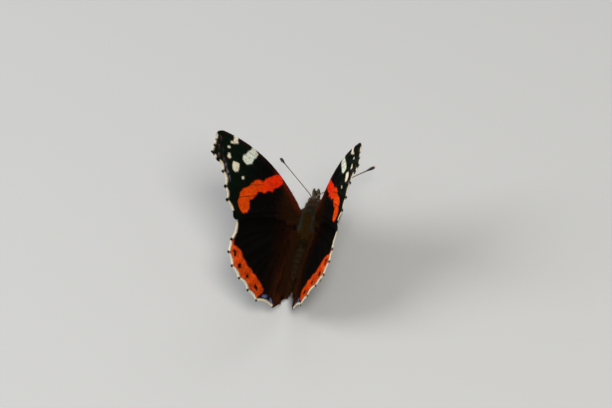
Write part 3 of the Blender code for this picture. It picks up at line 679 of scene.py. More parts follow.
def wing_normal(surface, flat, step=0.05):
    along_x = surface(flat + (step, 0)) - surface(flat - (step, 0))
    along_y = surface(flat + (0, step)) - surface(flat - (0, step))
    return unit(np.cross(along_x, along_y))


def distance(points, run):
    """Distance of each point from a run, and how far along the run its nearest place is."""
    starts, spans = run[:-1], np.diff(run, axis=0)
    squares = np.maximum((spans**2).sum(1), 1e-12)
    gap, place = np.empty(len(points)), np.empty(len(points))
    for k in range(0, len(points), 4000):
        offset = points[k : k + 4000, None] - starts
        t = np.clip((offset * spans).sum(2) / squares, 0, 1)
        apart = np.linalg.norm(offset - t[..., None] * spans, axis=2)
        nearest = apart.argmin(1)
        rows = np.arange(len(nearest))
        gap[k : k + 4000] = apart[rows, nearest]
        place[k : k + 4000] = (nearest + t[rows, nearest]) / len(spans)
    return gap, place


def vein_run(vein, count=16):
    start, middle, end = (np.array(p, float) for p in vein)
    control = 2 * middle - (start + end) / 2
    t = np.linspace(0, 1, count)[:, None]
    return (1 - t) ** 2 * start + 2 * t * (1 - t) * control + t**2 * end


def inside(points, outline):
    x, y = points[:, 0], points[:, 1]
    hit = np.zeros(len(points), bool)
    for (x1, y1), (x2, y2) in zip(outline, np.roll(outline, -1, axis=0)):
        if y1 != y2:
            hit ^= ((y1 > y) != (y2 > y)) & (x < (x2 - x1) * (y - y1) / (y2 - y1) + x1)
    return hit


class Wing:
    """A wing's flat mesh and what its surface and colours are worked out from."""

    def __init__(self, name, surface, margin, before, after, veins, lunules):
        self.name, self.surface, self.lunules = name, surface, lunules
        self.margin = spaced(margin, 0.05)
        away = outward(self.margin[:, :2])
        ends = np.minimum(np.arange(len(away)), np.arange(len(away))[::-1]) * 0.05
        inner = self.margin[:, :2] - away * (0.72 * FRINGE_LENGTH * ramp(ends, 0, 1.2))[:, None]
        self.outline = np.vstack([spaced(before, MESH_STEP), spaced(inner, MESH_STEP), spaced(after, MESH_STEP)])
        keep = np.linalg.norm(np.diff(self.outline, axis=0, append=self.outline[:1]), axis=1) > 0.3 * MESH_STEP
        self.outline = self.outline[keep]
        self.runs = [vein_run(vein) for vein in veins.values()]
        self.flat, self.triangles = self.triangulate()

    def measured(self, flat):
        """Flat places with their distances from the rim, the outer margin and the nearest vein."""
        closed = np.vstack([self.outline, self.outline[:1]])
        rim, _ = distance(flat, closed[::2])
        edge = self.margin[::4]
        margin_gap, place = distance(flat, edge[:, :2])
        found = [distance(flat, run) for run in self.runs]
        gaps = np.array([gap for gap, _ in found])
        vein_place = np.array([along for _, along in found])[gaps.argmin(0), np.arange(len(flat))]
        return SimpleNamespace(
            flat=flat, rim=rim, margin_gap=margin_gap, margin_place=np.interp(place, np.linspace(0, 1, len(edge)), edge[:, 2]),
            vein_gap=gaps.min(0), vein_place=vein_place, costa=self.runs[0], lunules=self.lunules,
        )

    def faces_at(self, at):
        """Upper and lower points at measured places, and the normal there."""
        half = EDGE_HALF + (MEMBRANE_HALF - EDGE_HALF) * ramp(at.rim, 0, 0.5)
        root = np.linalg.norm(at.flat, axis=1)
        taper = 1 - 0.65 * at.vein_place
        ridge = ramp(at.vein_gap, VEIN_HALF_WIDTH * (0.6 + 0.6 * taper), 0) * ramp(at.rim, 0, 0.4)
        half = half + 0.8 * VEIN_HEIGHT * taper * ridge + 0.12 * np.exp(-root / 1.6)
        fold = -PLEAT_DEPTH * ramp(at.vein_gap, 0.1, PLEAT_REACH) * ramp(at.rim, 0.0, 1.5) * ramp(root, 1.5, 5.0)
        ripple = 0.05 * (noise(*at.flat.T, 2.6, 5) - 0.5) + 0.02 * (noise(*at.flat.T, 0.8, 6) - 0.5)
        normal = wing_normal(self.surface, at.flat)
        middle = self.surface(at.flat) + normal * (fold + ripple * ramp(root, 1.5, 6.0))[:, None]
        return middle + normal * half[:, None], middle - normal * half[:, None], normal

    def triangulate(self):
        low, high = self.outline.min(0), self.outline.max(0)
        row = MESH_STEP * math.sqrt(3) / 2
        ys = np.arange(low[1], high[1], row)
        xs = np.arange(low[0], high[0], MESH_STEP)
        grid = np.array([(x + (k % 2) * MESH_STEP / 2, y) for k, y in enumerate(ys) for x in xs])
        grid = grid[inside(grid, self.outline)]
        closed = np.vstack([self.outline, self.outline[:1]])
        gap, _ = distance(grid, closed)
        points = [Vector(p) for p in (*self.outline, *grid[gap > 0.55 * MESH_STEP])]
        ring = list(range(len(self.outline)))
        flat, _, triangles = delaunay_2d_cdt(points, [], [ring], 1, 1e-4)[:3]
        return np.array([tuple(p) for p in flat]), np.array(triangles)

    def mesh_arrays(self, at):
        """Upper and lower faces joined round the rim: points, faces."""
        upper, lower, _ = self.faces_at(at)
        count = len(self.flat)
        a, b, c = self.triangles.T
        edges = np.vstack([self.triangles[:, [0, 1]], self.triangles[:, [1, 2]], self.triangles[:, [2, 0]]])
        keys = np.sort(edges, axis=1)
        keys = keys[:, 0] * count + keys[:, 1]
        _, first, uses = np.unique(keys, return_index=True, return_counts=True)
        rim = edges[first[uses == 1]]
        walls = np.column_stack([rim[:, 1], rim[:, 0], rim[:, 0] + count, rim[:, 1] + count])
        faces = [np.vstack([np.column_stack([a, b, c]), np.column_stack([c, b, a]) + count]), walls]
        return np.vstack([upper, lower]), faces

    def uv(self, flat, lower):
        """The upper face in the left half of the map and the lower face in the right half."""
        return np.column_stack([(flat[:, 0] + 3.5) / 66 + (0.5 if lower else 0), (flat[:, 1] + 24) / 46])


def forewing():
    margin = scalloped(FOREWING_TEETH)
    before = np.vstack([bezier(FOREWING_COSTA, 60), FOREWING_TIP])
    tip = smooth_run([before[-3], FOREWING_TIP[0], FOREWING_TIP[1], FOREWING_TEETH[0][0]], 8)[8:]
    before = np.vstack([before[:-2], tip[:-1]])
    after = np.vstack([smooth_run(FOREWING_HIND_EDGE, 10), [(-ROOT_TAB, -1.6), (-ROOT_TAB, -0.2)]])
    return Wing("forewing", on_forewing, margin, before, after, FOREWING_VEINS, FOREWING_LUNULES)


def hindwing():
    margin = scalloped(HINDWING_TEETH)
    before = smooth_run(HINDWING_FRONT_EDGE, 12)
    tab = [(-0.6, -1.2), (-ROOT_TAB, -0.9), (-ROOT_TAB, 1.3)]
    after = np.vstack([smooth_run(HINDWING_INNER_EDGE, 12), tab])
    return Wing("hindwing", on_hindwing, margin, before, after, HINDWING_VEINS, HINDWING_LUNULES)


# Markings

def spot(x, y, shape, soft=0.1):
    cx, cy, rx, ry, turn = shape
    c, s = math.cos(math.radians(turn)), math.sin(math.radians(turn))
    u, v = (x - cx) * c + (y - cy) * s, (y - cy) * c - (x - cx) * s
    return ramp((1 - np.hypot(u / rx, v / ry)) * min(rx, ry), -soft, soft)


def spots(x, y, shapes, soft=0.1):
    return np.max([spot(x, y, shape, soft) for shape in shapes], axis=0)


def patch(flat, outline, soft=0.1):
    """1 inside a closed outline and 0 outside it."""
    ring = smooth_run([*outline, outline[0]], 3)
    gap, _ = distance(flat, ring)
    return ramp(np.where(inside(flat, ring), gap, -gap), -soft, soft)


def jittered(flat, amount=0.16, seed=20):
    """The flat places, shaken a little so that edges look made of scales."""
    x, y = flat.T
    shake = [noise(x, y, 0.28, seed + k) + 0.5 * noise(x, y, 0.9, seed + 2 + k) - 0.75 for k in (0, 1)]
    return flat + amount * 2 * np.column_stack(shake)


def lunules(at, colour, cream, depth=0.3):
    """The dark line at the margin and the cream scales just inside the fringe."""
    line = ramp(at.margin_gap, FRINGE_LENGTH + 0.55, FRINGE_LENGTH + 0.2)
    colour = mix(colour, srgb(10, 7, 6), line * 0.85)
    near = ramp(at.margin_gap, FRINGE_LENGTH + depth, FRINGE_LENGTH + depth - 0.2)
    return mix(colour, cream, near * cream_share(at, at.margin_place))


def forewing_upper(at):
    flat = jittered(at.flat)
    x, y = flat.T
    grain = noise(x, y, 0.22, 1)
    cloud = noise(x, y, 2.4, 2)
    colour = np.tile(srgb(7, 6, 5), (len(flat), 1))
    colour = mix(colour, srgb(7, 22, 11), ramp(x + 0.4 * y, 15, 24) * (0.5 + 0.5 * cloud))
    colour = mix(colour, srgb(62, 32, 12), ramp(np.hypot(x, y), 9, 1) * 0.9)
    costal, _ = distance(flat, at.costa)
    streak = ramp(costal, 1.0, 0.35) * ramp(x, 10, 5.5)
    colour = mix(colour, srgb(112, 28, 6), streak * (0.55 + 0.45 * noise(x, y, 0.5, 3)))
    colour = mix(colour, srgb(54, 14, 22), ramp(costal, 0.8, 0.1) * ramp(x, 9, 12) * 0.4)
    colour = mix(colour, srgb(70, 26, 8), spot(x, y, (3.4, 3.6, 3.8, 0.9, 50), 0.7) * 0.6)
    flame = mix(srgb(240, 47, 6), srgb(235, 79, 4), ramp(x, 8, 17))
    flame = flame * (0.84 + 0.32 * grain)[:, None] * (0.9 + 0.2 * cloud)[:, None]
    dark_vein = ramp(at.vein_gap, 0.15, 0.04) * ramp(x, 11.0, 12.5)
    flame = mix(flame, srgb(90, 18, 5), dark_vein * 0.7)
    colour = mix(colour, flame, patch(flat, RED_BAND, 0.16))
    mauve = spots(x, y, MAUVE_STREAKS, 0.2)
    rosy = mix(srgb(122, 84, 84), srgb(122, 108, 126), ramp(y, 12, 9))
    colour = mix(colour, rosy, mauve * (0.15 + 0.75 * ramp(noise(x, y, 0.34, 4), 0.3, 0.7)))
    white = spots(x, y, WHITE_SPOTS, 0.12)
    for outline in (WHITE_BAR, COSTAL_SPOT, OVAL_SPOT):
        white = np.maximum(white, patch(flat, outline, 0.12))
    chalk = mix(srgb(246, 234, 208), srgb(228, 234, 216), spot(x, y, (16.3, 12.2, 2.4, 1.6, -40), 0.6))
    chalk = chalk * (0.92 + 0.14 * grain)[:, None]
    chalk = mix(chalk, srgb(150, 140, 128), ramp(at.vein_gap, 0.13, 0.04) * 0.5)
    colour = mix(colour, chalk, white)
    colour = lunules(at, colour, srgb(226, 212, 182))
    return colour * (0.8 + 0.4 * grain)[:, None]


def hindwing_upper(at):
    flat = jittered(at.flat)
    x, y = flat.T
    grain = noise(x, y, 0.22, 7)
    cloud = noise(x, y, 2.2, 8)
    across, along = swept(flat, HINDWING_POSE[2])
    colour = np.tile(srgb(6, 5, 3), (len(flat), 1))
    colour = mix(colour, srgb(38, 16, 4), ramp(across, 8.5, 2.0) * ramp(along, 0, -7) * (0.6 + 0.4 * cloud))
    streaks = noise(across * 3.0, along * 0.4, 1.0, 9)
    colour = mix(colour, srgb(74, 34, 10), ramp(across, 5.0, 1.2) * ramp(streaks, 0.35, 0.75) * 0.75)
    colour = mix(colour, srgb(52, 30, 14), ramp(across, 1.2, -0.8))
    colour = mix(colour, srgb(34, 28, 26), ramp(y, 0.5, 2.6) * 0.8)
    flame = mix(srgb(228, 76, 14), srgb(200, 66, 6), ramp(along, -12, -20))
    flame = flame * (0.8 + 0.4 * grain)[:, None] * (0.86 + 0.28 * cloud)[:, None]
    flame = mix(flame, srgb(120, 30, 5), ramp(at.vein_gap, 0.14, 0.04) * 0.4)
    colour = mix(colour, flame, patch(flat, ORANGE_BAND, 0.18))
    marks = np.maximum(spots(x, y, BLACK_SPOTS, 0.12), 0.75 * spots(x, y, MARGIN_ARCS, 0.14))
    colour = mix(colour, srgb(12, 8, 6), marks)
    ring = spots(x, y, [(cx, cy, rx + 0.45, ry + 0.45, t) for cx, cy, rx, ry, t in BLUE_SPOTS], 0.2)
    colour = mix(colour, srgb(14, 9, 9), ring * 0.85)
    blue = spots(x, y, BLUE_SPOTS, 0.18)
    colour = mix(colour, srgb(108, 116, 168), blue * (0.7 + 0.3 * grain))
    colour = lunules(at, colour, srgb(232, 218, 186))
    return colour * (0.8 + 0.4 * grain)[:, None]


def forewing_lower(at):
    """The underside: rose band, white bar and blue rings in black, and a marbled brown tip."""
    flat = jittered(at.flat, seed=40)
    x, y = flat.T
    grain = noise(x, y, 0.22, 11)
    cloud = noise(x, y, 1.6, 12)
    marble = noise(x + 0.9 * cloud, y, 0.7, 13)
    colour = np.tile(srgb(22, 18, 17), (len(flat), 1))
    hind = ramp(y + 0.12 * x, 2.6, 0.2)
    colour = mix(colour, srgb(74, 62, 54), hind * 0.8)
    tip = ramp(x + 0.35 * y, 22.5, 25.5)
    brown = mix(srgb(96, 74, 56), srgb(46, 34, 28), ramp(marble, 0.35, 0.65))
    brown = mix(brown, srgb(140, 122, 108), ramp(cloud, 0.62, 0.85) * 0.7)
    colour = mix(colour, brown, tip)
    base = spot(x, y, (4.2, 4.2, 4.6, 1.5, 42), 0.5)
    colour = mix(colour, srgb(176, 58, 50), base * 0.85)
    rose = mix(srgb(200, 66, 58), srgb(218, 106, 74), ramp(x, 8, 17)) * (0.85 + 0.3 * grain)[:, None]
    colour = mix(colour, rose, patch(flat, RED_BAND, 0.16))
    blue = spots(x, y, ((7.4, 9.4, 0.9, 0.22, 40), (11.2, 10.4, 1.1, 0.28, 60), (12.6, 9.4, 0.9, 0.22, 100),
                        (17.9, 14.6, 0.9, 0.24, 30)), 0.12)
    colour = mix(colour, srgb(70, 112, 176), blue * 0.8)
    white = spots(x, y, WHITE_SPOTS, 0.14)
    for outline in (WHITE_BAR, COSTAL_SPOT, OVAL_SPOT):
        white = np.maximum(white, patch(flat, outline, 0.14))
    colour = mix(colour, srgb(224, 218, 204) * (0.85 + 0.2 * grain)[:, None], white * 0.92)
    costal, _ = distance(flat, at.costa)
    speckle = ramp(costal, 1.0, 0.2) * ramp(noise(x, y, 0.6, 14), 0.45, 0.6)
    colour = mix(colour, srgb(170, 152, 130), speckle * 0.6)
    for cx, cy in ((23.1, 12.2), (23.2, 14.3), (22.0, 10.1)):
        colour = mix(colour, srgb(24, 22, 26), spot(x, y, (cx + 0.9, cy, 0.6, 0.45, 90), 0.15) * tip)
        colour = mix(colour, srgb(110, 130, 160), spot(x, y, (cx + 0.9, cy, 0.2, 0.16, 90), 0.1) * tip)
    colour = mix(colour, srgb(70, 56, 46), ramp(at.rim, 0.9, 0.3) * ramp(x, 14, 18) * 0.8)
    veins = ramp(at.vein_gap, 0.18, 0.05)
    colour = mix(colour, srgb(60, 46, 38), veins * 0.5)
    return colour * (0.8 + 0.4 * grain)[:, None]


def hindwing_lower(at):
    """The underside: marbled bronze, grey and black, with faint eyespots and a pale spot at the front edge."""
    flat = jittered(at.flat, 0.22, seed=60)
    x, y = flat.T
    grain = noise(x, y, 0.22, 21)
    warp_x, warp_y = noise(x, y, 1.9, 22) - 0.5, noise(x, y, 1.9, 23) - 0.5
    u, v = x + 2.6 * warp_x, y + 2.6 * warp_y
    marble = noise(u, v, 1.0, 24)
    lines = np.abs(noise(u, v, 1.5, 25) - 0.5)
    colour = mix(srgb(74, 56, 42), srgb(34, 27, 24), ramp(marble, 0.35, 0.62))
    radius = np.hypot(x, y)
    colour = mix(colour, srgb(24, 20, 20), ramp(np.abs(radius - 12.0 + 3 * warp_x), 2.2, 0.6) * 0.75)
    colour = mix(colour, srgb(150, 132, 108), ramp(lines, 0.035, 0.008) * 0.65)
    colour = mix(colour, srgb(104, 94, 86), ramp(noise(u, v, 3.0, 26), 0.6, 0.8) * 0.6)
    pale = spots(x, y, ((9.6, 2.0, 1.5, 0.75, -8), (15.2, -0.7, 0.9, 0.4, -30)), 0.25)
    colour = mix(colour, srgb(190, 178, 152), pale * 0.8)
    for cx, cy in ((18.0, -9.3), (16.9, -12.9), (14.6, -15.3), (11.9, -17.6), (18.0, -6.2)):
        colour = mix(colour, srgb(112, 92, 66), spot(x, y, (cx, cy, 1.15, 0.95, 60), 0.15) * 0.85)
        colour = mix(colour, srgb(34, 38, 34), spot(x, y, (cx, cy, 0.85, 0.68, 60), 0.12) * 0.9)
        colour = mix(colour, srgb(92, 116, 128), spot(x, y, (cx, cy, 0.3, 0.22, 60), 0.1) * 0.8)
    rows = ramp(np.abs(at.rim - 1.5), 0.35, 0.12) * ramp(x - 0.45 * y, 12.0, 15.0)
    colour = mix(colour, srgb(122, 114, 128), rows * ramp(at.vein_gap, 0.2, 0.7) * 0.7)
    colour = mix(colour, srgb(84, 62, 44), ramp(at.rim, 0.9, 0.3) * 0.7)
    inner = ramp(x + 0.24 * y, 1.5, -2.5)
    colour = mix(colour, srgb(92, 76, 60), inner * 0.8)
    colour = mix(colour, srgb(120, 100, 78), ramp(at.vein_gap, 0.16, 0.05) * 0.35)
    return colour * (0.8 + 0.4 * grain)[:, None]


def cream_share(wing, place):
    """1 where the fringe is cream, 0 where it is black."""
    return np.max([ramp(place, a - 0.03, a + 0.03) * ramp(place, b + 0.03, b - 0.03) for a, b in wing.lunules], axis=0)


def fringe_arrays(wing, rng):
    """Scales along the outer margin in a short and a long layer, from the membrane's edge to the solid's."""
    away = outward(wing.margin[:, :2])
    reach = np.concatenate([[0], np.cumsum(np.linalg.norm(np.diff(wing.margin[:, :2], axis=0), axis=1))])
    pieces = []
    for layer, (step, length, height) in enumerate(((0.028, 0.86, 0.0), (0.032, 1.0, 0.025), (0.032, 0.72, -0.03))):
        at = np.arange(0.15, reach[-1] - 0.1, step)
        at = at + rng.uniform(-0.4, 0.4, len(at)) * step
        spot_xy = np.column_stack([np.interp(at, reach, wing.margin[:, k]) for k in (0, 1)])
        place = np.interp(at, reach, wing.margin[:, 2])
        out = unit(np.column_stack([np.interp(at, reach, away[:, k]) for k in (0, 1)]))
        turn = rng.normal(0, 0.14, len(at))
        out = np.column_stack([out[:, 0] * np.cos(turn) - out[:, 1] * np.sin(turn),
                               out[:, 0] * np.sin(turn) + out[:, 1] * np.cos(turn)])
        long = FRINGE_LENGTH * length * rng.uniform(0.9, 1.1, len(at))
        ends = np.minimum(at, reach[-1] - at)
        long = long * (0.55 + 0.45 * ramp(ends, 0, 1.0))
        base = spot_xy - out * (long + 0.12)[:, None]
        root = wing.surface(base)
        lie = unit(wing.surface(base + out * 0.3) - root)
        up = wing_normal(wing.surface, base)
        root = root + up * height
        cream = cream_share(wing, place + rng.normal(0, 0.012, len(at)))
        tone = rng.uniform(0.8, 1.12, len(at))[:, None]
        tint = mix(srgb(16, 12, 10), srgb(226, 212, 178), cream) * tone
        tip_tint = mix(srgb(22, 16, 13), srgb(250, 241, 217), cream) * tone
        pieces.append(locks(root, lie, up, long + 0.12, 0.034, rng.normal(0, 0.05, len(at)), rng.normal(0, 0.08, len(at)),
                            tint, tip_tint, wing.uv(base, layer == 2), rings=2, flat=0.3))
    return joined(pieces)


def vanes(root, lie, up, length, width, tint, uv):
    """Flat kite-shaped scales, each a closed solid of four triangles with a low ridge down its middle."""
    count = len(root)
    side = unit(np.cross(lie, up))
    along = (lie * math.cos(SCALE_LIFT) + up * math.sin(SCALE_LIFT)) * length[:, None]
    broad = root + 0.6 * along - up * SCALE_THICKNESS
    half = side * width[:, None] / 2
    points = np.stack([root, broad + half, root + along, broad - half], 1)
    one = np.array([(0, 1, 2), (0, 2, 3), (0, 3, 1), (2, 1, 3)])
    faces = (one[None] + 4 * np.arange(count)[:, None, None]).reshape(-1, 3)
    corners = uv[:, None] + PATCH * np.array([(0.5, 0), (1, 0.6), (0.5, 1), (0, 0.6)])
    # The corner tints lift every scale above its colour and lighten it from root to tip: painted light making up for
    # the shade between the scales
    tints = np.repeat(tint[:, None], 4, 1) * np.array([1.05, 1.25, 1.45, 1.25])[None, :, None]
    return points.reshape(-1, 3), [faces], tints.reshape(-1, 3), corners.reshape(-1, 2)


def scale_places(wing, rng):
    """Places in rows round the scale centre, a little shaken, and the way each scale points."""
    centre = np.array(SCALE_CENTRE)
    reach = np.linalg.norm(wing.outline - centre, axis=1).max()
    rows = []
    for k, radius in enumerate(np.arange(2.6, reach, SCALE_ROW)):
        turns = np.arange(-math.pi / 2, math.pi / 2, SCALE_SPACING / radius) + (k % 2) * SCALE_SPACING / radius / 2
        rows.append(np.column_stack([radius * np.cos(turns), radius * np.sin(turns)]))
    flat = np.vstack(rows)
    flat = flat + centre + rng.normal(0, 0.018, flat.shape)
    flat = flat[inside(flat, wing.outline)]
    return flat, unit(flat - centre)


def scale_arrays(wing, at, ahead_at, colour, lower, rng):
    """The scales of one face of a wing, each lying towards the place a scale's length ahead of it."""
    *faces, normal = wing.faces_at(at)
    root, up = (faces[1], -normal) if lower else (faces[0], normal)
    ahead = unit(wing.faces_at(ahead_at)[int(lower)] - root)
    lie = unit(ahead + np.cross(ahead, up) * rng.normal(0, 0.1, len(root))[:, None])
    count = len(root)
    tint = colour * rng.uniform(0.78, 1.24, count)[:, None]
    length = SCALE_LENGTH * rng.uniform(0.85, 1.15, count) * ramp(at.rim, -0.3, 0.3)
    return vanes(root - up * 0.004, lie, up, length, SCALE_WIDTH * rng.uniform(0.85, 1.1, count), tint,
                 wing.uv(at.flat, lower))


def make_wing(wing, upper, lower, look, scales, hair):
    rng = np.random.default_rng(7)
    at = wing.measured(wing.flat)
    points, faces = wing.mesh_arrays(at)
    tint = np.vstack([upper(at), lower(at)])
    uv = np.vstack([wing.uv(wing.flat, False), wing.uv(wing.flat, True)])
    flat, heading = scale_places(wing, rng)
    at, ahead_at = wing.measured(flat), wing.measured(flat + heading * SCALE_LENGTH)
    pieces = {
        "fringe": (fringe_arrays(wing, rng), hair),
        "upper_scales": (scale_arrays(wing, at, ahead_at, upper(at), False, rng), scales),
        "lower_scales": (scale_arrays(wing, at, ahead_at, lower(at), True, rng), scales),
    }
    for side in ("right", "left"):
        name = f"{wing.name}_{side}"
        p, f = (points, faces) if side == "right" else mirrored(points, faces)
        obj = new_mesh(f"{name}_membrane", row_points(p), f, tint, uv)
        finish_piece(obj, look, wing.name, name)
        for kind, (arrays, coat) in pieces.items():
            p, f = (arrays[0], arrays[1]) if side == "right" else mirrored(arrays[0], arrays[1])
            obj = new_mesh(f"{name}_{kind}", row_points(p), f, arrays[2], arrays[3])
            finish_piece(obj, coat, wing.name)


def finish_piece(obj, look, slot, *nodes):
    obj.data.materials.append(look)
    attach(obj, "root")
    if nodes:
        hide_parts(*nodes)


# Body

def body_table():
    """The sections at even steps along the body, smoothed a little."""
    table = np.array(BODY_SECTIONS)
    y = np.arange(TAIL, FACE + 0.01, 0.05)
    rows = np.column_stack([np.interp(y, table[:, 0], table[:, k]) for k in range(1, 5)])
    kernel = np.hanning(13)[1:-1]
    kernel /= kernel.sum()
    rows = np.column_stack([np.convolve(np.pad(rows[:, k], 5, "edge"), kernel, "valid") for k in range(4)])
    return y, rows


BODY_Y, BODY_ROWS = body_table()


def body_surface(y, angle, depth_share=1.0):
    """Points of the skin at y and an angle from the right side, less depth_share of the coat."""
    centre, width, rise, drop = (np.interp(y, BODY_Y, BODY_ROWS[:, k]) for k in range(4))
    depth = np.interp(y, *np.array(COAT_DEPTH).T) * depth_share
    c, s = np.cos(angle), np.sin(angle)
    height = np.where(s > 0, rise, drop)
    ahead = np.clip((y - TAIL) / (WAIST - 0.15 - TAIL), 0, 1)
    lean = ABDOMEN_LEAN * (1 - ahead**2)
    return np.stack([(width - depth) * c - lean, y + 0 * c, centre + (height - depth) * s], -1)


def body_normal(y, angle):
    along = body_surface(y + 0.05, angle) - body_surface(y - 0.05, angle)
    around = body_surface(y, angle + 0.02) - body_surface(y, angle - 0.02)
    return unit(np.cross(around, along) * -1)


def segment_shape(y):
    """How much the abdomen draws in at y: a sharp step at each segment's edge and a swell behind it."""
    shrink = np.zeros_like(y)
    edges = (TAIL, *SEGMENT_EDGES, WAIST)
    for back, front in zip(edges, edges[1:]):
        t = np.clip((y - back) / (front - back), 0, 1)
        within = (y >= back) & (y < front)
        shrink = np.where(within, ramp(t, 0.72, 1.0) * SEGMENT_GROOVE - 0.03 * np.sin(np.pi * np.clip(t / 0.72, 0, 1)), shrink)
    return shrink * ramp(y, WAIST + 0.1, WAIST - 0.8)


def skin_object():
    """One seamless skin for abdomen, thorax, head and palps."""
    ys = np.concatenate([np.arange(TAIL, FACE, 0.07), [FACE]])
    sides = 72
    angles = 2 * np.pi * np.arange(sides) / sides
    grid_y, grid_a = np.meshgrid(ys, angles, indexing="ij")
    points = body_surface(grid_y, grid_a)
    centre = np.stack([points[..., 0].mean(1), ys, np.interp(ys, BODY_Y, BODY_ROWS[:, 0])], -1)[:, None]
    shrink = (1 - segment_shape(ys))[:, None, None]
    points = centre + (points - centre) * shrink
    i, j = np.arange(sides), (np.arange(sides) + 1) % sides
    quads = [np.column_stack([i, i + sides, j + sides, j]) + k * sides for k in range(len(ys) - 1)]
    ends = np.vstack([centre[0], centre[-1]])
    ends[0, 1] -= 0.06
    ends[1, 1] += 0.12
    flat = np.vstack([points.reshape(-1, 3), ends])
    last = (len(ys) - 1) * sides
    caps = np.vstack([np.column_stack([i, j, np.full(sides, len(flat) - 2)]),
                      np.column_stack([j + last, i + last, np.full(sides, len(flat) - 1)])])
    body = (flat, [np.vstack(quads), caps], np.zeros(3), None)
    pieces = [body]
    path, radii, _ = along_path(PALP_PATH, PALP_RADII, 24, 0.2)
    palp, palp_faces = tube(path, radii, 20)
    for p, f in ((palp, palp_faces), mirrored(palp, palp_faces)):
        pieces.append((p, turned_out(p, f), np.zeros(3), None))
    points, faces, _, _ = joined(pieces)
    raw = new_mesh("body_skin", row_points(points), faces)
    remesh = raw.modifiers.new("fuse", "REMESH")
    remesh.mode = "VOXEL"
    remesh.voxel_size = 0.105 * MM
    smooth = raw.modifiers.new("smooth", "SMOOTH")
    smooth.factor = 0.5
    smooth.iterations = 2
    graph = bpy.context.evaluated_depsgraph_get()
    mesh = bpy.data.meshes.new_from_object(raw.evaluated_get(graph))
    raw.modifiers.clear()
    raw.data = mesh
    mesh.shade_smooth()
    co = np.empty(len(mesh.vertices) * 3, np.float32)
    mesh.vertices.foreach_get("co", co)
    co = co.reshape(-1, 3) / MM - (0, ORIGIN_Y, BODY_HEIGHT)
    c, s = math.cos(BODY_PITCH), math.sin(BODY_PITCH)
    y = co[:, 1] * c + co[:, 2] * s
    z = co[:, 2] * c - co[:, 1] * s
    angle = np.arctan2(z - np.interp(y, BODY_Y, BODY_ROWS[:, 0]), co[:, 0])
    colours = np.ones((len(co), 4), np.float32)
    colours[:, :3] = body_colour(y, angle) * 0.6
    mesh.color_attributes.new("tint", "FLOAT_COLOR", "POINT").data.foreach_set("color", colours.ravel())
    return raw


def body_colour(y, angle):
    """Colour of skin and coat: olive brown, blue grey painted sheen at the shoulders, grey brown below, banded abdomen.
    """
    y, angle = np.asarray(y, float), np.asarray(angle, float)
    top = ramp(np.sin(angle), -0.5, 0.1)
    level = np.abs(np.cos(angle))
    cloud = noise(y * 1.5, angle * 2.0, 1.0, 31)
    thorax = mix(srgb(53, 38, 7), srgb(66, 44, 12), cloud)
    front = ramp(y, 0.7, 1.4) * ramp(level, 0.9, 0.7)
    # Blue grey at the front of the thorax and, stronger, at the shoulders: the shoulder patch is painted sheen on the
    # hair
    shoulder_sheen = ramp(y, -4.4, -2.0) * ramp(level, 0.38, 0.7)
    thorax = mix(thorax, srgb(50, 62, 60), np.maximum(0.5 * front, 0.7 * shoulder_sheen))
    thorax = mix(thorax, srgb(78, 42, 16), ramp(y, -1.5, -4.6) * ramp(level, 0.3, 0.8) * 0.75)
    head = mix(srgb(51, 34, 18), srgb(73, 55, 35), cloud)
    head = mix(head, srgb(112, 104, 94), ramp(np.sin(angle), 0.8, 0.97) * ramp(y, 4.2, 5.0) * 0.6)
    t = np.zeros_like(y)
    edges = (TAIL, *SEGMENT_EDGES, WAIST)
    for back, front in zip(edges, edges[1:]):
        t = np.where((y >= back) & (y < front), (y - back) / (front - back), t)
    abdomen = mix(srgb(38, 27, 8), srgb(60, 47, 19), ramp(t, 0.3, 0.06) * 0.6)
    abdomen = mix(abdomen, srgb(62, 36, 12), ramp(level, 0.5, 0.85) * 0.7)
    colour = mix(thorax, head, ramp(y, 1.7, 2.5))
    colour = mix(colour, abdomen, ramp(y, WAIST + 0.3, WAIST - 0.9))
    belly = mix(srgb(120, 98, 72), srgb(92, 78, 62), cloud)
    return mix(belly, colour, top)


def on_body(count, low, high, rng):
    """Random places on the body between two y, evenly over its surface."""
    y = rng.uniform(low, high, count * 3)
    angle = rng.uniform(-math.pi, math.pi, count * 3)
    _, width, rise, drop = (np.interp(y, BODY_Y, BODY_ROWS[:, k]) for k in range(4))
    size = np.sqrt(width * (rise + drop) / 2)
    keep = rng.uniform(0, size.max(), count * 3) < size
    return y[keep][:count], angle[keep][:count]


def body_uv(y, angle):
    """The body's own unwrap: round it by angle and along it by y."""
    return np.column_stack([(angle / (2 * math.pi)) % 1.0 * 0.98 + 0.005, (y - TAIL) / (FACE + 2.0 - TAIL) * 0.98 + 0.005])


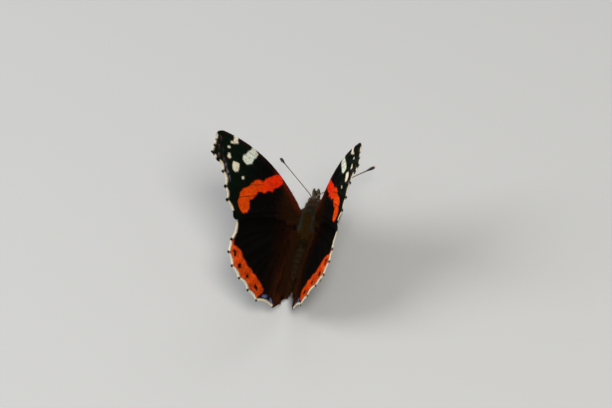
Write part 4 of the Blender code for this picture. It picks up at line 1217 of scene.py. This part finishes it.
def body_coat(name, where, length, width, lift, tip_lift, rng, look, rings=3, ahead=-1.0, outward=0.0, slot="body_fur"):
    """Hair at the places where=(y, angle) that lies backwards, or forwards with ahead=1, and outwards."""
    y, angle = where
    up = body_normal(y, angle)
    root = body_surface(y, angle, 1.0) - up * 0.04
    around = np.stack([-np.sin(angle), 0 * y, np.cos(angle)], -1)
    lie = np.stack([np.sign(np.cos(angle)) * outward, 0 * y + ahead, 0 * y], -1)
    lie = lie + around * rng.normal(0, 0.22, len(y))[:, None]
    lie = unit(lie - up * (lie * up).sum(1)[:, None])
    tone = rng.uniform(0.65, 1.3, len(y))[:, None]
    tint = body_colour(y, angle) * tone
    size = length * rng.uniform(0.7, 1.15, len(y))
    # Each lock runs from 0.7 of its tint at the root to 1.35 at the tip: painted shade deep in the coat and painted
    # light on the tips
    arrays = locks(root, lie, up, size, width * rng.uniform(0.7, 1.2, len(y)),
                   lift + rng.normal(0, 0.12, len(y)), tip_lift + rng.normal(0, 0.12, len(y)),
                   tint * 0.7, tint * 1.35, body_uv(y, angle), rings=rings)
    obj = new_mesh(name, row_points(arrays[0]), arrays[1], arrays[2], arrays[3])
    finish_piece(obj, look, slot)


def side_places(count, low, high, lowest, steepest, rng):
    """Places on both sides of the body between two y and between two angles above level."""
    y = rng.uniform(low, high, count)
    angle = rng.uniform(lowest, steepest, count)
    return y, np.where(rng.random(count) < 0.5, angle, math.pi - angle)


def body_coats(rng, look):
    """Short hair all over, and longer tufts at the collar, shoulders, wing roots, waist and abdomen's sides."""
    thorax = on_body(7600, WAIST - 0.2, NECK, rng)
    length = 0.95 + 0.25 * ramp(thorax[0], -4.5, -1.0)
    body_coat("thorax_hair", thorax, length, 0.04, 0.6, 0.1, rng, look)
    shoulders = side_places(3200, -1.8, 2.4, 0.2, 1.0, rng)
    body_coat("shoulder_hair", shoulders, 2.0, 0.045, 0.85, 0.1, rng, look, outward=1.1)
    roots = side_places(3200, -4.4, -0.4, -0.1, 0.85, rng)
    body_coat("wing_root_hair", roots, 2.1, 0.045, 0.95, 0.25, rng, look, outward=0.7)
    waist = on_body(3200, WAIST - 2.2, -3.2, rng)
    body_coat("waist_hair", waist, 1.7, 0.045, 0.65, 0.1, rng, look, outward=0.6)
    collar = on_body(3200, 2.0, NECK + 0.25, rng)
    body_coat("collar_hair", collar, 1.1, 0.04, 1.0, 0.35, rng, look, ahead=1.0)
    cheeks = side_places(2200, 2.3, NECK + 0.2, -0.7, 0.9, rng)
    body_coat("cheek_hair", cheeks, 1.45, 0.04, 0.8, 0.45, rng, look, ahead=1.0, outward=0.35)
    head = on_body(4200, NECK - 0.2, FACE - 0.1, rng)
    body_coat("head_hair", head, 0.75, 0.034, 0.95, 0.5, rng, look, rings=2, ahead=1.0)
    abdomen = on_body(7600, TAIL + 0.25, WAIST + 0.3, rng)
    length = 0.42 + 0.3 * ramp(abdomen[0], -7.5, WAIST) + 0.2 * ramp(abdomen[0], -16.0, TAIL)
    body_coat("abdomen_scales", abdomen, length, 0.045, 0.38, 0.08, rng, look, rings=2)
    sides = side_places(3400, -15.5, WAIST + 0.2, -0.5, 0.45, rng)
    body_coat("abdomen_side_hair", sides, 0.85, 0.04, 0.7, 0.1, rng, look)


def palp_coat(rng, look):
    path, radii, share = along_path(PALP_PATH, PALP_RADII, 60, 0.2)
    count = 2100
    at = rng.uniform(0.1, 1.0, count)
    turn = rng.uniform(0, 2 * math.pi, count)
    index = at * (len(path) - 1)
    centre = np.column_stack([np.interp(index, np.arange(len(path)), path[:, k]) for k in range(3)])
    run = unit(np.column_stack([np.interp(index, np.arange(len(path)), np.gradient(path[:, k])) for k in range(3)]))
    side = unit(np.cross(run, (1.0, 0.0, 0.0)))
    other = np.cross(run, side)
    up = side * np.cos(turn)[:, None] + other * np.sin(turn)[:, None]
    radius = np.interp(index, np.arange(len(path)), radii)
    root = centre + up * (radius * 0.9)[:, None]
    below = ramp((up * (0, 0, 1)).sum(1), 0.2, -0.4)
    streak = ramp(np.cos(4 * turn), 0.1, 0.6)
    tint = mix(mix(srgb(48, 38, 22), srgb(102, 94, 74), streak), srgb(150, 136, 116), below)
    tint = tint * rng.uniform(0.7, 1.3, count)[:, None]
    length = 0.55 * rng.uniform(0.7, 1.2, count) * (1 + 0.2 * below) * (1 - 0.25 * at)
    inwards = 0.75 * ramp(root[:, 0], 0.65, 0.3) * ramp(at, 1.0, 0.75)
    uv = np.column_stack([0.9 + 0.09 * turn / (2 * math.pi), 0.93 + 0.06 * at])
    pieces = []
    for mirror in (1, -1):
        flip = np.array([mirror, 1, 1])
        lie = unit(run + inwards[:, None] * (-1.0, 0, 0)) * flip
        # Darker at the root and lighter at the tip: painted shade deep in the hair and painted light on the tips
        arrays = locks(root * flip, lie, up * flip, length, 0.034, 0.62, 0.2, tint * 0.8, tint * 1.25, uv, rings=2)
        pieces.append((arrays[0], turned_out(arrays[0], arrays[1]), arrays[2], arrays[3]))
    points, faces, tints, uvs = joined(pieces)
    obj = new_mesh("palp_hair", row_points(points), faces, tints, uvs)
    finish_piece(obj, look, "body_fur")


def wing_hair(wing, name, flat, heading, length, lift, colour, rng, look, over=None):
    """Hair on a wing's upper face, each with its heading in the flat wing or all lying along over."""
    keep = inside(flat, wing.outline)
    flat = flat[keep]
    count = len(flat)
    up = wing_normal(wing.surface, flat)
    root = wing.surface(flat) + up * 0.04
    if over is None:
        turn = rng.normal(0, 0.2, count)
        heading = unit(heading[keep])
        heading = np.column_stack([heading[:, 0] * np.cos(turn) - heading[:, 1] * np.sin(turn),
                                   heading[:, 0] * np.sin(turn) + heading[:, 1] * np.cos(turn)])
        lie = unit(wing.surface(flat + heading * 0.3) - wing.surface(flat))
    else:
        lie = unit(np.array(over) + rng.normal(0, 0.18, (count, 3)))
        up = np.tile((0.0, 0.0, 1.0), (count, 1))
        up = unit(up - lie * (lie * up).sum(1)[:, None])
    size = length * rng.uniform(0.6, 1.2, count)
    tint = np.broadcast_to(colour, (len(keep), 3))[keep] * rng.uniform(0.5, 1.4, count)[:, None]
    # Darker at the root and lighter at the tip: painted shade deep in the hair and painted light on the tips
    arrays = locks(root, lie, up, size, 0.035, lift + rng.normal(0, 0.1, count), rng.normal(0.05, 0.12, count),
                   tint * 0.8, tint * 1.3, wing.uv(flat, False), rings=3)
    for side in ("right", "left"):
        p, f = (arrays[0], arrays[1]) if side == "right" else mirrored(arrays[0], arrays[1])
        obj = new_mesh(f"{name}_{side}", row_points(p), f, arrays[2], arrays[3])
        finish_piece(obj, look, wing.name)


def along_hindwing(across, along):
    """Flat hindwing places from places measured across and along its swept chord."""
    return np.column_stack(swept(np.column_stack([across, along]), -HINDWING_POSE[2]))


def wing_coats(front, hind, rng, look):
    """Hair on the wing bases, over the hindwing's inner half and along the flap beside the abdomen."""
    flat = np.column_stack([rng.gamma(2.0, 1.3, 3600) - 1.0, rng.normal(0.4, 1.5, 3600)])
    costal, _ = distance(flat, front.runs[0])
    colour = mix(srgb(52, 30, 10), srgb(96, 32, 8), ramp(costal, 1.6, 0.4))
    wing_hair(front, "forewing_hair", flat, flat + (2.5, 1.0), 1.25, 0.3, colour, rng, look)
    flat = np.column_stack([rng.uniform(-1.2, 3.4, 1500), rng.uniform(-2.0, -0.9, 1500)])
    wing_hair(front, "forewing_edge_hair", flat, None, 1.9, 0.15, srgb(52, 30, 12), rng, look, (0.25, -1.0, -0.1))
    flat = np.column_stack([rng.gamma(2.0, 1.9, 3400) - 0.8, -rng.uniform(-1.5, 19.5, 3400)])
    flat = flat[flat[:, 0] < 8 + 0.2 * flat[:, 1]]
    wing_hair(hind, "hindwing_hair", flat, flat + (2.5, 0.0), 1.3, 0.22, srgb(40, 17, 4), rng, look)
    crest = along_hindwing(rng.uniform(-0.6, 1.6, 3900), -rng.uniform(0.0, 17.5, 3900))
    wing_hair(hind, "hindwing_crest_hair", crest, None, 1.35, 0.1, srgb(58, 30, 8), rng, look, (-0.8, -0.75, -0.15))
    trough = along_hindwing(rng.uniform(-4.6, -1.6, 5200), -rng.uniform(1.0, 17.0, 5200))
    wing_hair(hind, "hindwing_flap_hair", trough, None, 1.3, 0.2, srgb(70, 46, 22), rng, look, (-1.0, -0.55, 0.1))


# Head parts and legs

def eye_objects(look):
    count_u, count_v = 64, 48
    u = 2 * np.pi * np.arange(count_u) / count_u
    v = np.pi * (np.arange(count_v) + 0.5) / count_v
    gu, gv = np.meshgrid(u, v)
    ball = np.stack([np.cos(gv), np.sin(gv) * np.cos(gu), np.sin(gv) * np.sin(gu)], -1).reshape(-1, 3)
    ball = np.vstack([ball, (1, 0, 0), (-1, 0, 0)])
    i, j = np.arange(count_u), (np.arange(count_u) + 1) % count_u
    quads = np.vstack([np.column_stack([i, j, j + count_u, i + count_u]) + k * count_u for k in range(count_v - 1)])
    last = (count_v - 1) * count_u
    caps = np.vstack([np.column_stack([j, i, np.full(count_u, len(ball) - 2)]),
                      np.column_stack([i + last, j + last, np.full(count_u, len(ball) - 1)])])
    points = np.array(EYE_CENTRE) + ball * EYE_SIZE
    tint = mix(srgb(46, 24, 14), srgb(74, 48, 30), ramp(ball[:, 2], 0.1, -0.8))
    for side in ("right", "left"):
        p, f = (points, [quads, caps]) if side == "right" else mirrored(points, [quads, caps])
        obj = new_mesh(f"eye_{side}_faceted", row_points(p), turned_out(p - p.mean(0), f), tint)
        finish_piece(obj, look, "eye", f"eye_{side}")


def antenna_objects(look):
    """A ringed shaft and a spindle-shaped club with a pale tip."""
    radii = (0.15, 0.16, 0.13, 0.11, 0.115, 0.15, 0.38, 0.34, 0.08)
    path, radius, share = along_path(ANTENNA_PATH, radii, 320, 0.7)
    ring = (share * ANTENNA_RINGS) % 1.0
    radius = radius * (1 - 0.14 * ramp(np.abs(ring - 0.5), 0.38, 0.5))
    points, faces = tube(path, radius, 16)
    tint = mix(srgb(44, 34, 24), srgb(150, 134, 96), ramp(ring, 0.34, 0.22) * ramp(share, 0.86, 0.78))
    tint = mix(tint, srgb(14, 11, 10), ramp(share, 0.84, 0.88) * ramp(share, 0.988, 0.966))
    tint = mix(tint, srgb(206, 160, 96), ramp(share, 0.966, 0.986))
    tint = np.vstack([np.repeat(tint, 16, axis=0), tint[:1], tint[-1:]])
    for side in ("right", "left"):
        p, f = (points, faces) if side == "right" else mirrored(points, faces)
        obj = new_mesh(f"antenna_{side}_ringed", row_points(p), turned_out(p - p.mean(0), f), tint)
        finish_piece(obj, look, "antenna", f"antenna_{side}")


def proboscis_object(look):
    """The tongue: a tapered tube wound in a flat spiral, with its root under the face."""
    turns = np.linspace(0, 1, 220)
    angle = math.radians(100) - 2 * math.pi * COIL_TURNS * turns
    radius = COIL_RADIUS * (1 - 0.82 * turns) - 0.1
    x = COIL_CENTRE[0] + 0 * turns
    path = np.column_stack([x, COIL_CENTRE[1] + radius * np.cos(angle), COIL_CENTRE[2] + radius * np.sin(angle)])
    start = np.array([(0, 5.35, -1.6), (0, 5.6, -1.95)])
    path = np.vstack([start, path])
    size = np.concatenate([[0.16, 0.16], 0.15 - 0.08 * turns])
    size = size * (1 + 0.04 * np.sin(np.arange(len(size)) * 1.3))
    points, faces = tube(path, size, 12)
    tint = np.tile(srgb(72, 44, 24), (len(points), 1))
    obj = new_mesh("proboscis_coiled", row_points(points), turned_out(points - points.mean(0), faces), tint)
    finish_piece(obj, look, "proboscis", "proboscis")


def bristles(path, radii, share_range, count, length, tint, rng, lift=0.5, width=0.022):
    index = rng.uniform(*share_range, count) * (len(path) - 1)
    steps = np.arange(len(path))
    centre = np.column_stack([np.interp(index, steps, path[:, k]) for k in range(3)])
    run = unit(np.column_stack([np.interp(index, steps, np.gradient(path[:, k])) for k in range(3)]))
    turn = rng.uniform(0, 2 * math.pi, count)
    side = unit(np.cross(run, (0.3, 0.2, 1.0)))
    up = side * np.cos(turn)[:, None] + np.cross(run, side) * np.sin(turn)[:, None]
    root = centre + up * (np.interp(index, steps, radii) * 0.9)[:, None]
    shade = rng.uniform(0.6, 1.3, count)[:, None] * tint
    low = root[:, 2] < 0.12
    size = np.where(low, 0.3, 1.0) * length * rng.uniform(0.6, 1.2, count)
    # Darker at the root and lighter at the tip: painted shade among the bristles and painted light on the tips
    return locks(root, run, up, size, width, lift, lift * 0.5, shade * 0.8, shade * 1.2,
                 np.full((count, 2), 0.5), rings=2)


def leg_arrays(path, radii, count, rng, on_floor):
    """Femur, tibia and tarsus as one jointed tube, with bristles and two claws."""
    path, radii, share = along_path(path, radii, count, 0.3)
    if on_floor:
        path[:, 2] = np.maximum(path[:, 2], radii * 0.96)
    tarsus = ramp(share, 0.66, 0.7)
    joint = ((share - 0.7) / 0.3 * 5) % 1.0
    radii = radii * (1 - 0.2 * tarsus * ramp(np.abs(joint - 0.5), 0.34, 0.5))
    points, faces = tube(path, radii, 16)
    tint = mix(srgb(62, 46, 34), srgb(140, 106, 70), ramp(share, 0.28, 0.42))
    tint = mix(tint, srgb(104, 76, 50), tarsus * 0.6)
    tint = np.vstack([np.repeat(tint, 16, axis=0), tint[:1], tint[-1:]])
    pieces = [(points, turned_out(points - points.mean(0), faces), tint, None)]
    if on_floor:
        pieces.append(bristles(path, radii, (0.06, 0.42), 1100, 0.34, srgb(92, 74, 54), rng, 0.35, 0.03))
        pieces.append(bristles(path, radii, (0.4, 0.68), 600, 0.26, srgb(126, 98, 66), rng, 0.3, 0.026))
        pieces.append(bristles(path, radii, (0.42, 0.97), 240, 0.26, srgb(62, 42, 28), rng, 0.75))
    else:
        pieces.append(bristles(path, radii, (0.05, 0.97), 1900, 0.55, srgb(112, 92, 68), rng, 0.5, 0.03))
    end, run = path[-1], unit(path[-1] - path[-6])
    side = unit(np.cross(run, (0, 0, 1.0)))
    for lean in (-1, 1):
        claw = np.array([end - run * 0.1, end + run * 0.14 + side * lean * 0.09 + (0, 0, 0.05),
                         end + run * 0.3 + side * lean * 0.15 - (0, 0, 0.05)])
        claw_path, claw_size, _ = along_path(claw, (0.06, 0.05, 0.012), 10, 0.1)
        if on_floor:
            claw_path[:, 2] = np.maximum(claw_path[:, 2], claw_size)
        p, f = tube(claw_path, claw_size, 8)
        pieces.append((p, turned_out(p - p.mean(0), f), srgb(24, 16, 12), None))
    points, faces, tints, _ = joined(pieces)
    return points, faces, tints


def leg_objects(look):
    for name, leg in LEGS.items():
        hip, trochanter = floor_points(leg["coxa"])
        knee, ankle = np.array(leg["knee"]), np.array(leg["ankle"])
        toe = np.array([*leg["toe"], 0.14])
        heel = np.array([ankle[0], ankle[1], 0.16]) + unit(toe - (*ankle[:2], 0.14)) * 0.6
        toe = toe - unit(toe - heel) * 0.1
        path = [hip, trochanter, trochanter * 0.6 + knee * 0.4, knee, knee * 0.6 + ankle * 0.4, ankle, heel, toe]
        radii = [0.42, 0.34, 0.36, 0.24, 0.22, 0.18, 0.17, 0.13]
        make_leg(name, np.array(path), radii, 200, True, look)
    make_leg("foreleg", np.array(FORELEG_PATH), (0.3, 0.27, 0.26, 0.22, 0.08), 120, False, look)


def make_leg(name, path, radii, count, on_floor, look):
    points, faces, tints = leg_arrays(path, radii, count, np.random.default_rng(len(name)), on_floor)
    for side in ("right", "left"):
        p, f = (points, faces) if side == "right" else mirrored(points, faces)
        obj = new_mesh(f"{name}_{side}_jointed", row_points(p, on_floor), f, tints)
        finish_piece(obj, look, "leg", f"{name}_{side}")


# Studio

def make_camera():
    data = bpy.data.cameras.new("camera")
    camera = bpy.data.objects.new("camera", data)
    bpy.context.scene.collection.objects.link(camera)
    right = Vector(VIEW_RIGHT).normalized()
    up = Vector(VIEW_UP)
    up = (up - right * up.dot(right)).normalized()
    back = right.cross(up)
    origin = Vector((0.0, ORIGIN_Y, BODY_HEIGHT)) * MM
    camera.matrix_world = Matrix((
        (right.x, up.x, back.x, 0), (right.y, up.y, back.y, 0), (right.z, up.z, back.z, 0), (0, 0, 0, 1)
    ))
    camera.location = origin + back * CAMERA_DISTANCE
    width_seen = PHOTO[0] / PIXELS_PER_MM * MM
    data.sensor_width = SENSOR
    data.lens = SENSOR * CAMERA_DISTANCE / width_seen
    data.shift_x = (PHOTO[0] / 2 - ORIGIN_PIXEL[0]) / PHOTO[0]
    data.shift_y = (ORIGIN_PIXEL[1] - PHOTO[1] / 2) / PHOTO[0]
    data.clip_start, data.clip_end = 0.01, 20.0
    bpy.context.scene.camera = camera


def make_light(name, place, size, power, colour):
    data = bpy.data.lights.new(name, "AREA")
    data.shape = "DISK"
    data.size = size
    data.energy = power
    data.color = colour
    light = bpy.data.objects.new(name, data)
    light.location = place
    aim = Vector((0, 0, 0.015)) - Vector(place)
    light.rotation_euler = aim.to_track_quat("-Z", "Y").to_euler()
    bpy.context.scene.collection.objects.link(light)


def make_studio():
    floor = new_mesh("studio_floor", np.array([(-3, -3, 0), (3, -3, 0), (3, 3, 0), (-3, 3, 0)]) - (0, 0, 1e-5),
                     [np.array([(0, 1, 2, 3)])])
    look = Look("studio_paper", roughness=0.9, specular=0.1, tint=(0.46, 0.46, 0.45))
    look.bump(look.noise(900), 0.05, 0.0001)
    floor.data.materials.append(look.material)
    world = bpy.data.worlds.new("studio")
    world.use_nodes = True
    world.node_tree.nodes["Background"].inputs["Color"].default_value = (0.9, 0.93, 1.0, 1)
    world.node_tree.nodes["Background"].inputs["Strength"].default_value = 0.24
    bpy.context.scene.world = world
    make_light("key", (0.28, -0.32, 0.62), 0.3, 4.3, (1.0, 0.97, 0.92))
    make_light("fill", (-0.5, -0.1, 0.45), 0.45, 3.5, (0.97, 0.98, 1.0))
    make_light("rim", (0.1, 0.6, 0.4), 0.4, 0.9, (1.0, 1.0, 1.0))
    bpy.context.scene.view_settings.view_transform = "Standard"


def main():
    rng = np.random.default_rng(11)
    membrane, scales, hair = wing_look(), scale_look(), coat_look()
    horn = horn_look("leg_horn", 0.45, 0.1)
    make_camera()
    front, hind = forewing(), hindwing()
    make_wing(front, forewing_upper, forewing_lower, membrane, scales, hair)
    make_wing(hind, hindwing_upper, hindwing_lower, membrane, scales, hair)
    skin = skin_object()
    finish_piece(skin, hair, "body_fur", "head", "thorax", "abdomen", "palp_left", "palp_right")
    body_coats(rng, hair)
    palp_coat(rng, hair)
    wing_coats(front, hind, rng, hair)
    eye_objects(eye_look())
    antenna_objects(horn_look("antenna_horn", 0.5, 0.0))
    proboscis_object(horn_look("tongue_horn", 0.35, 0.3))
    leg_objects(horn)
    make_studio()


main()
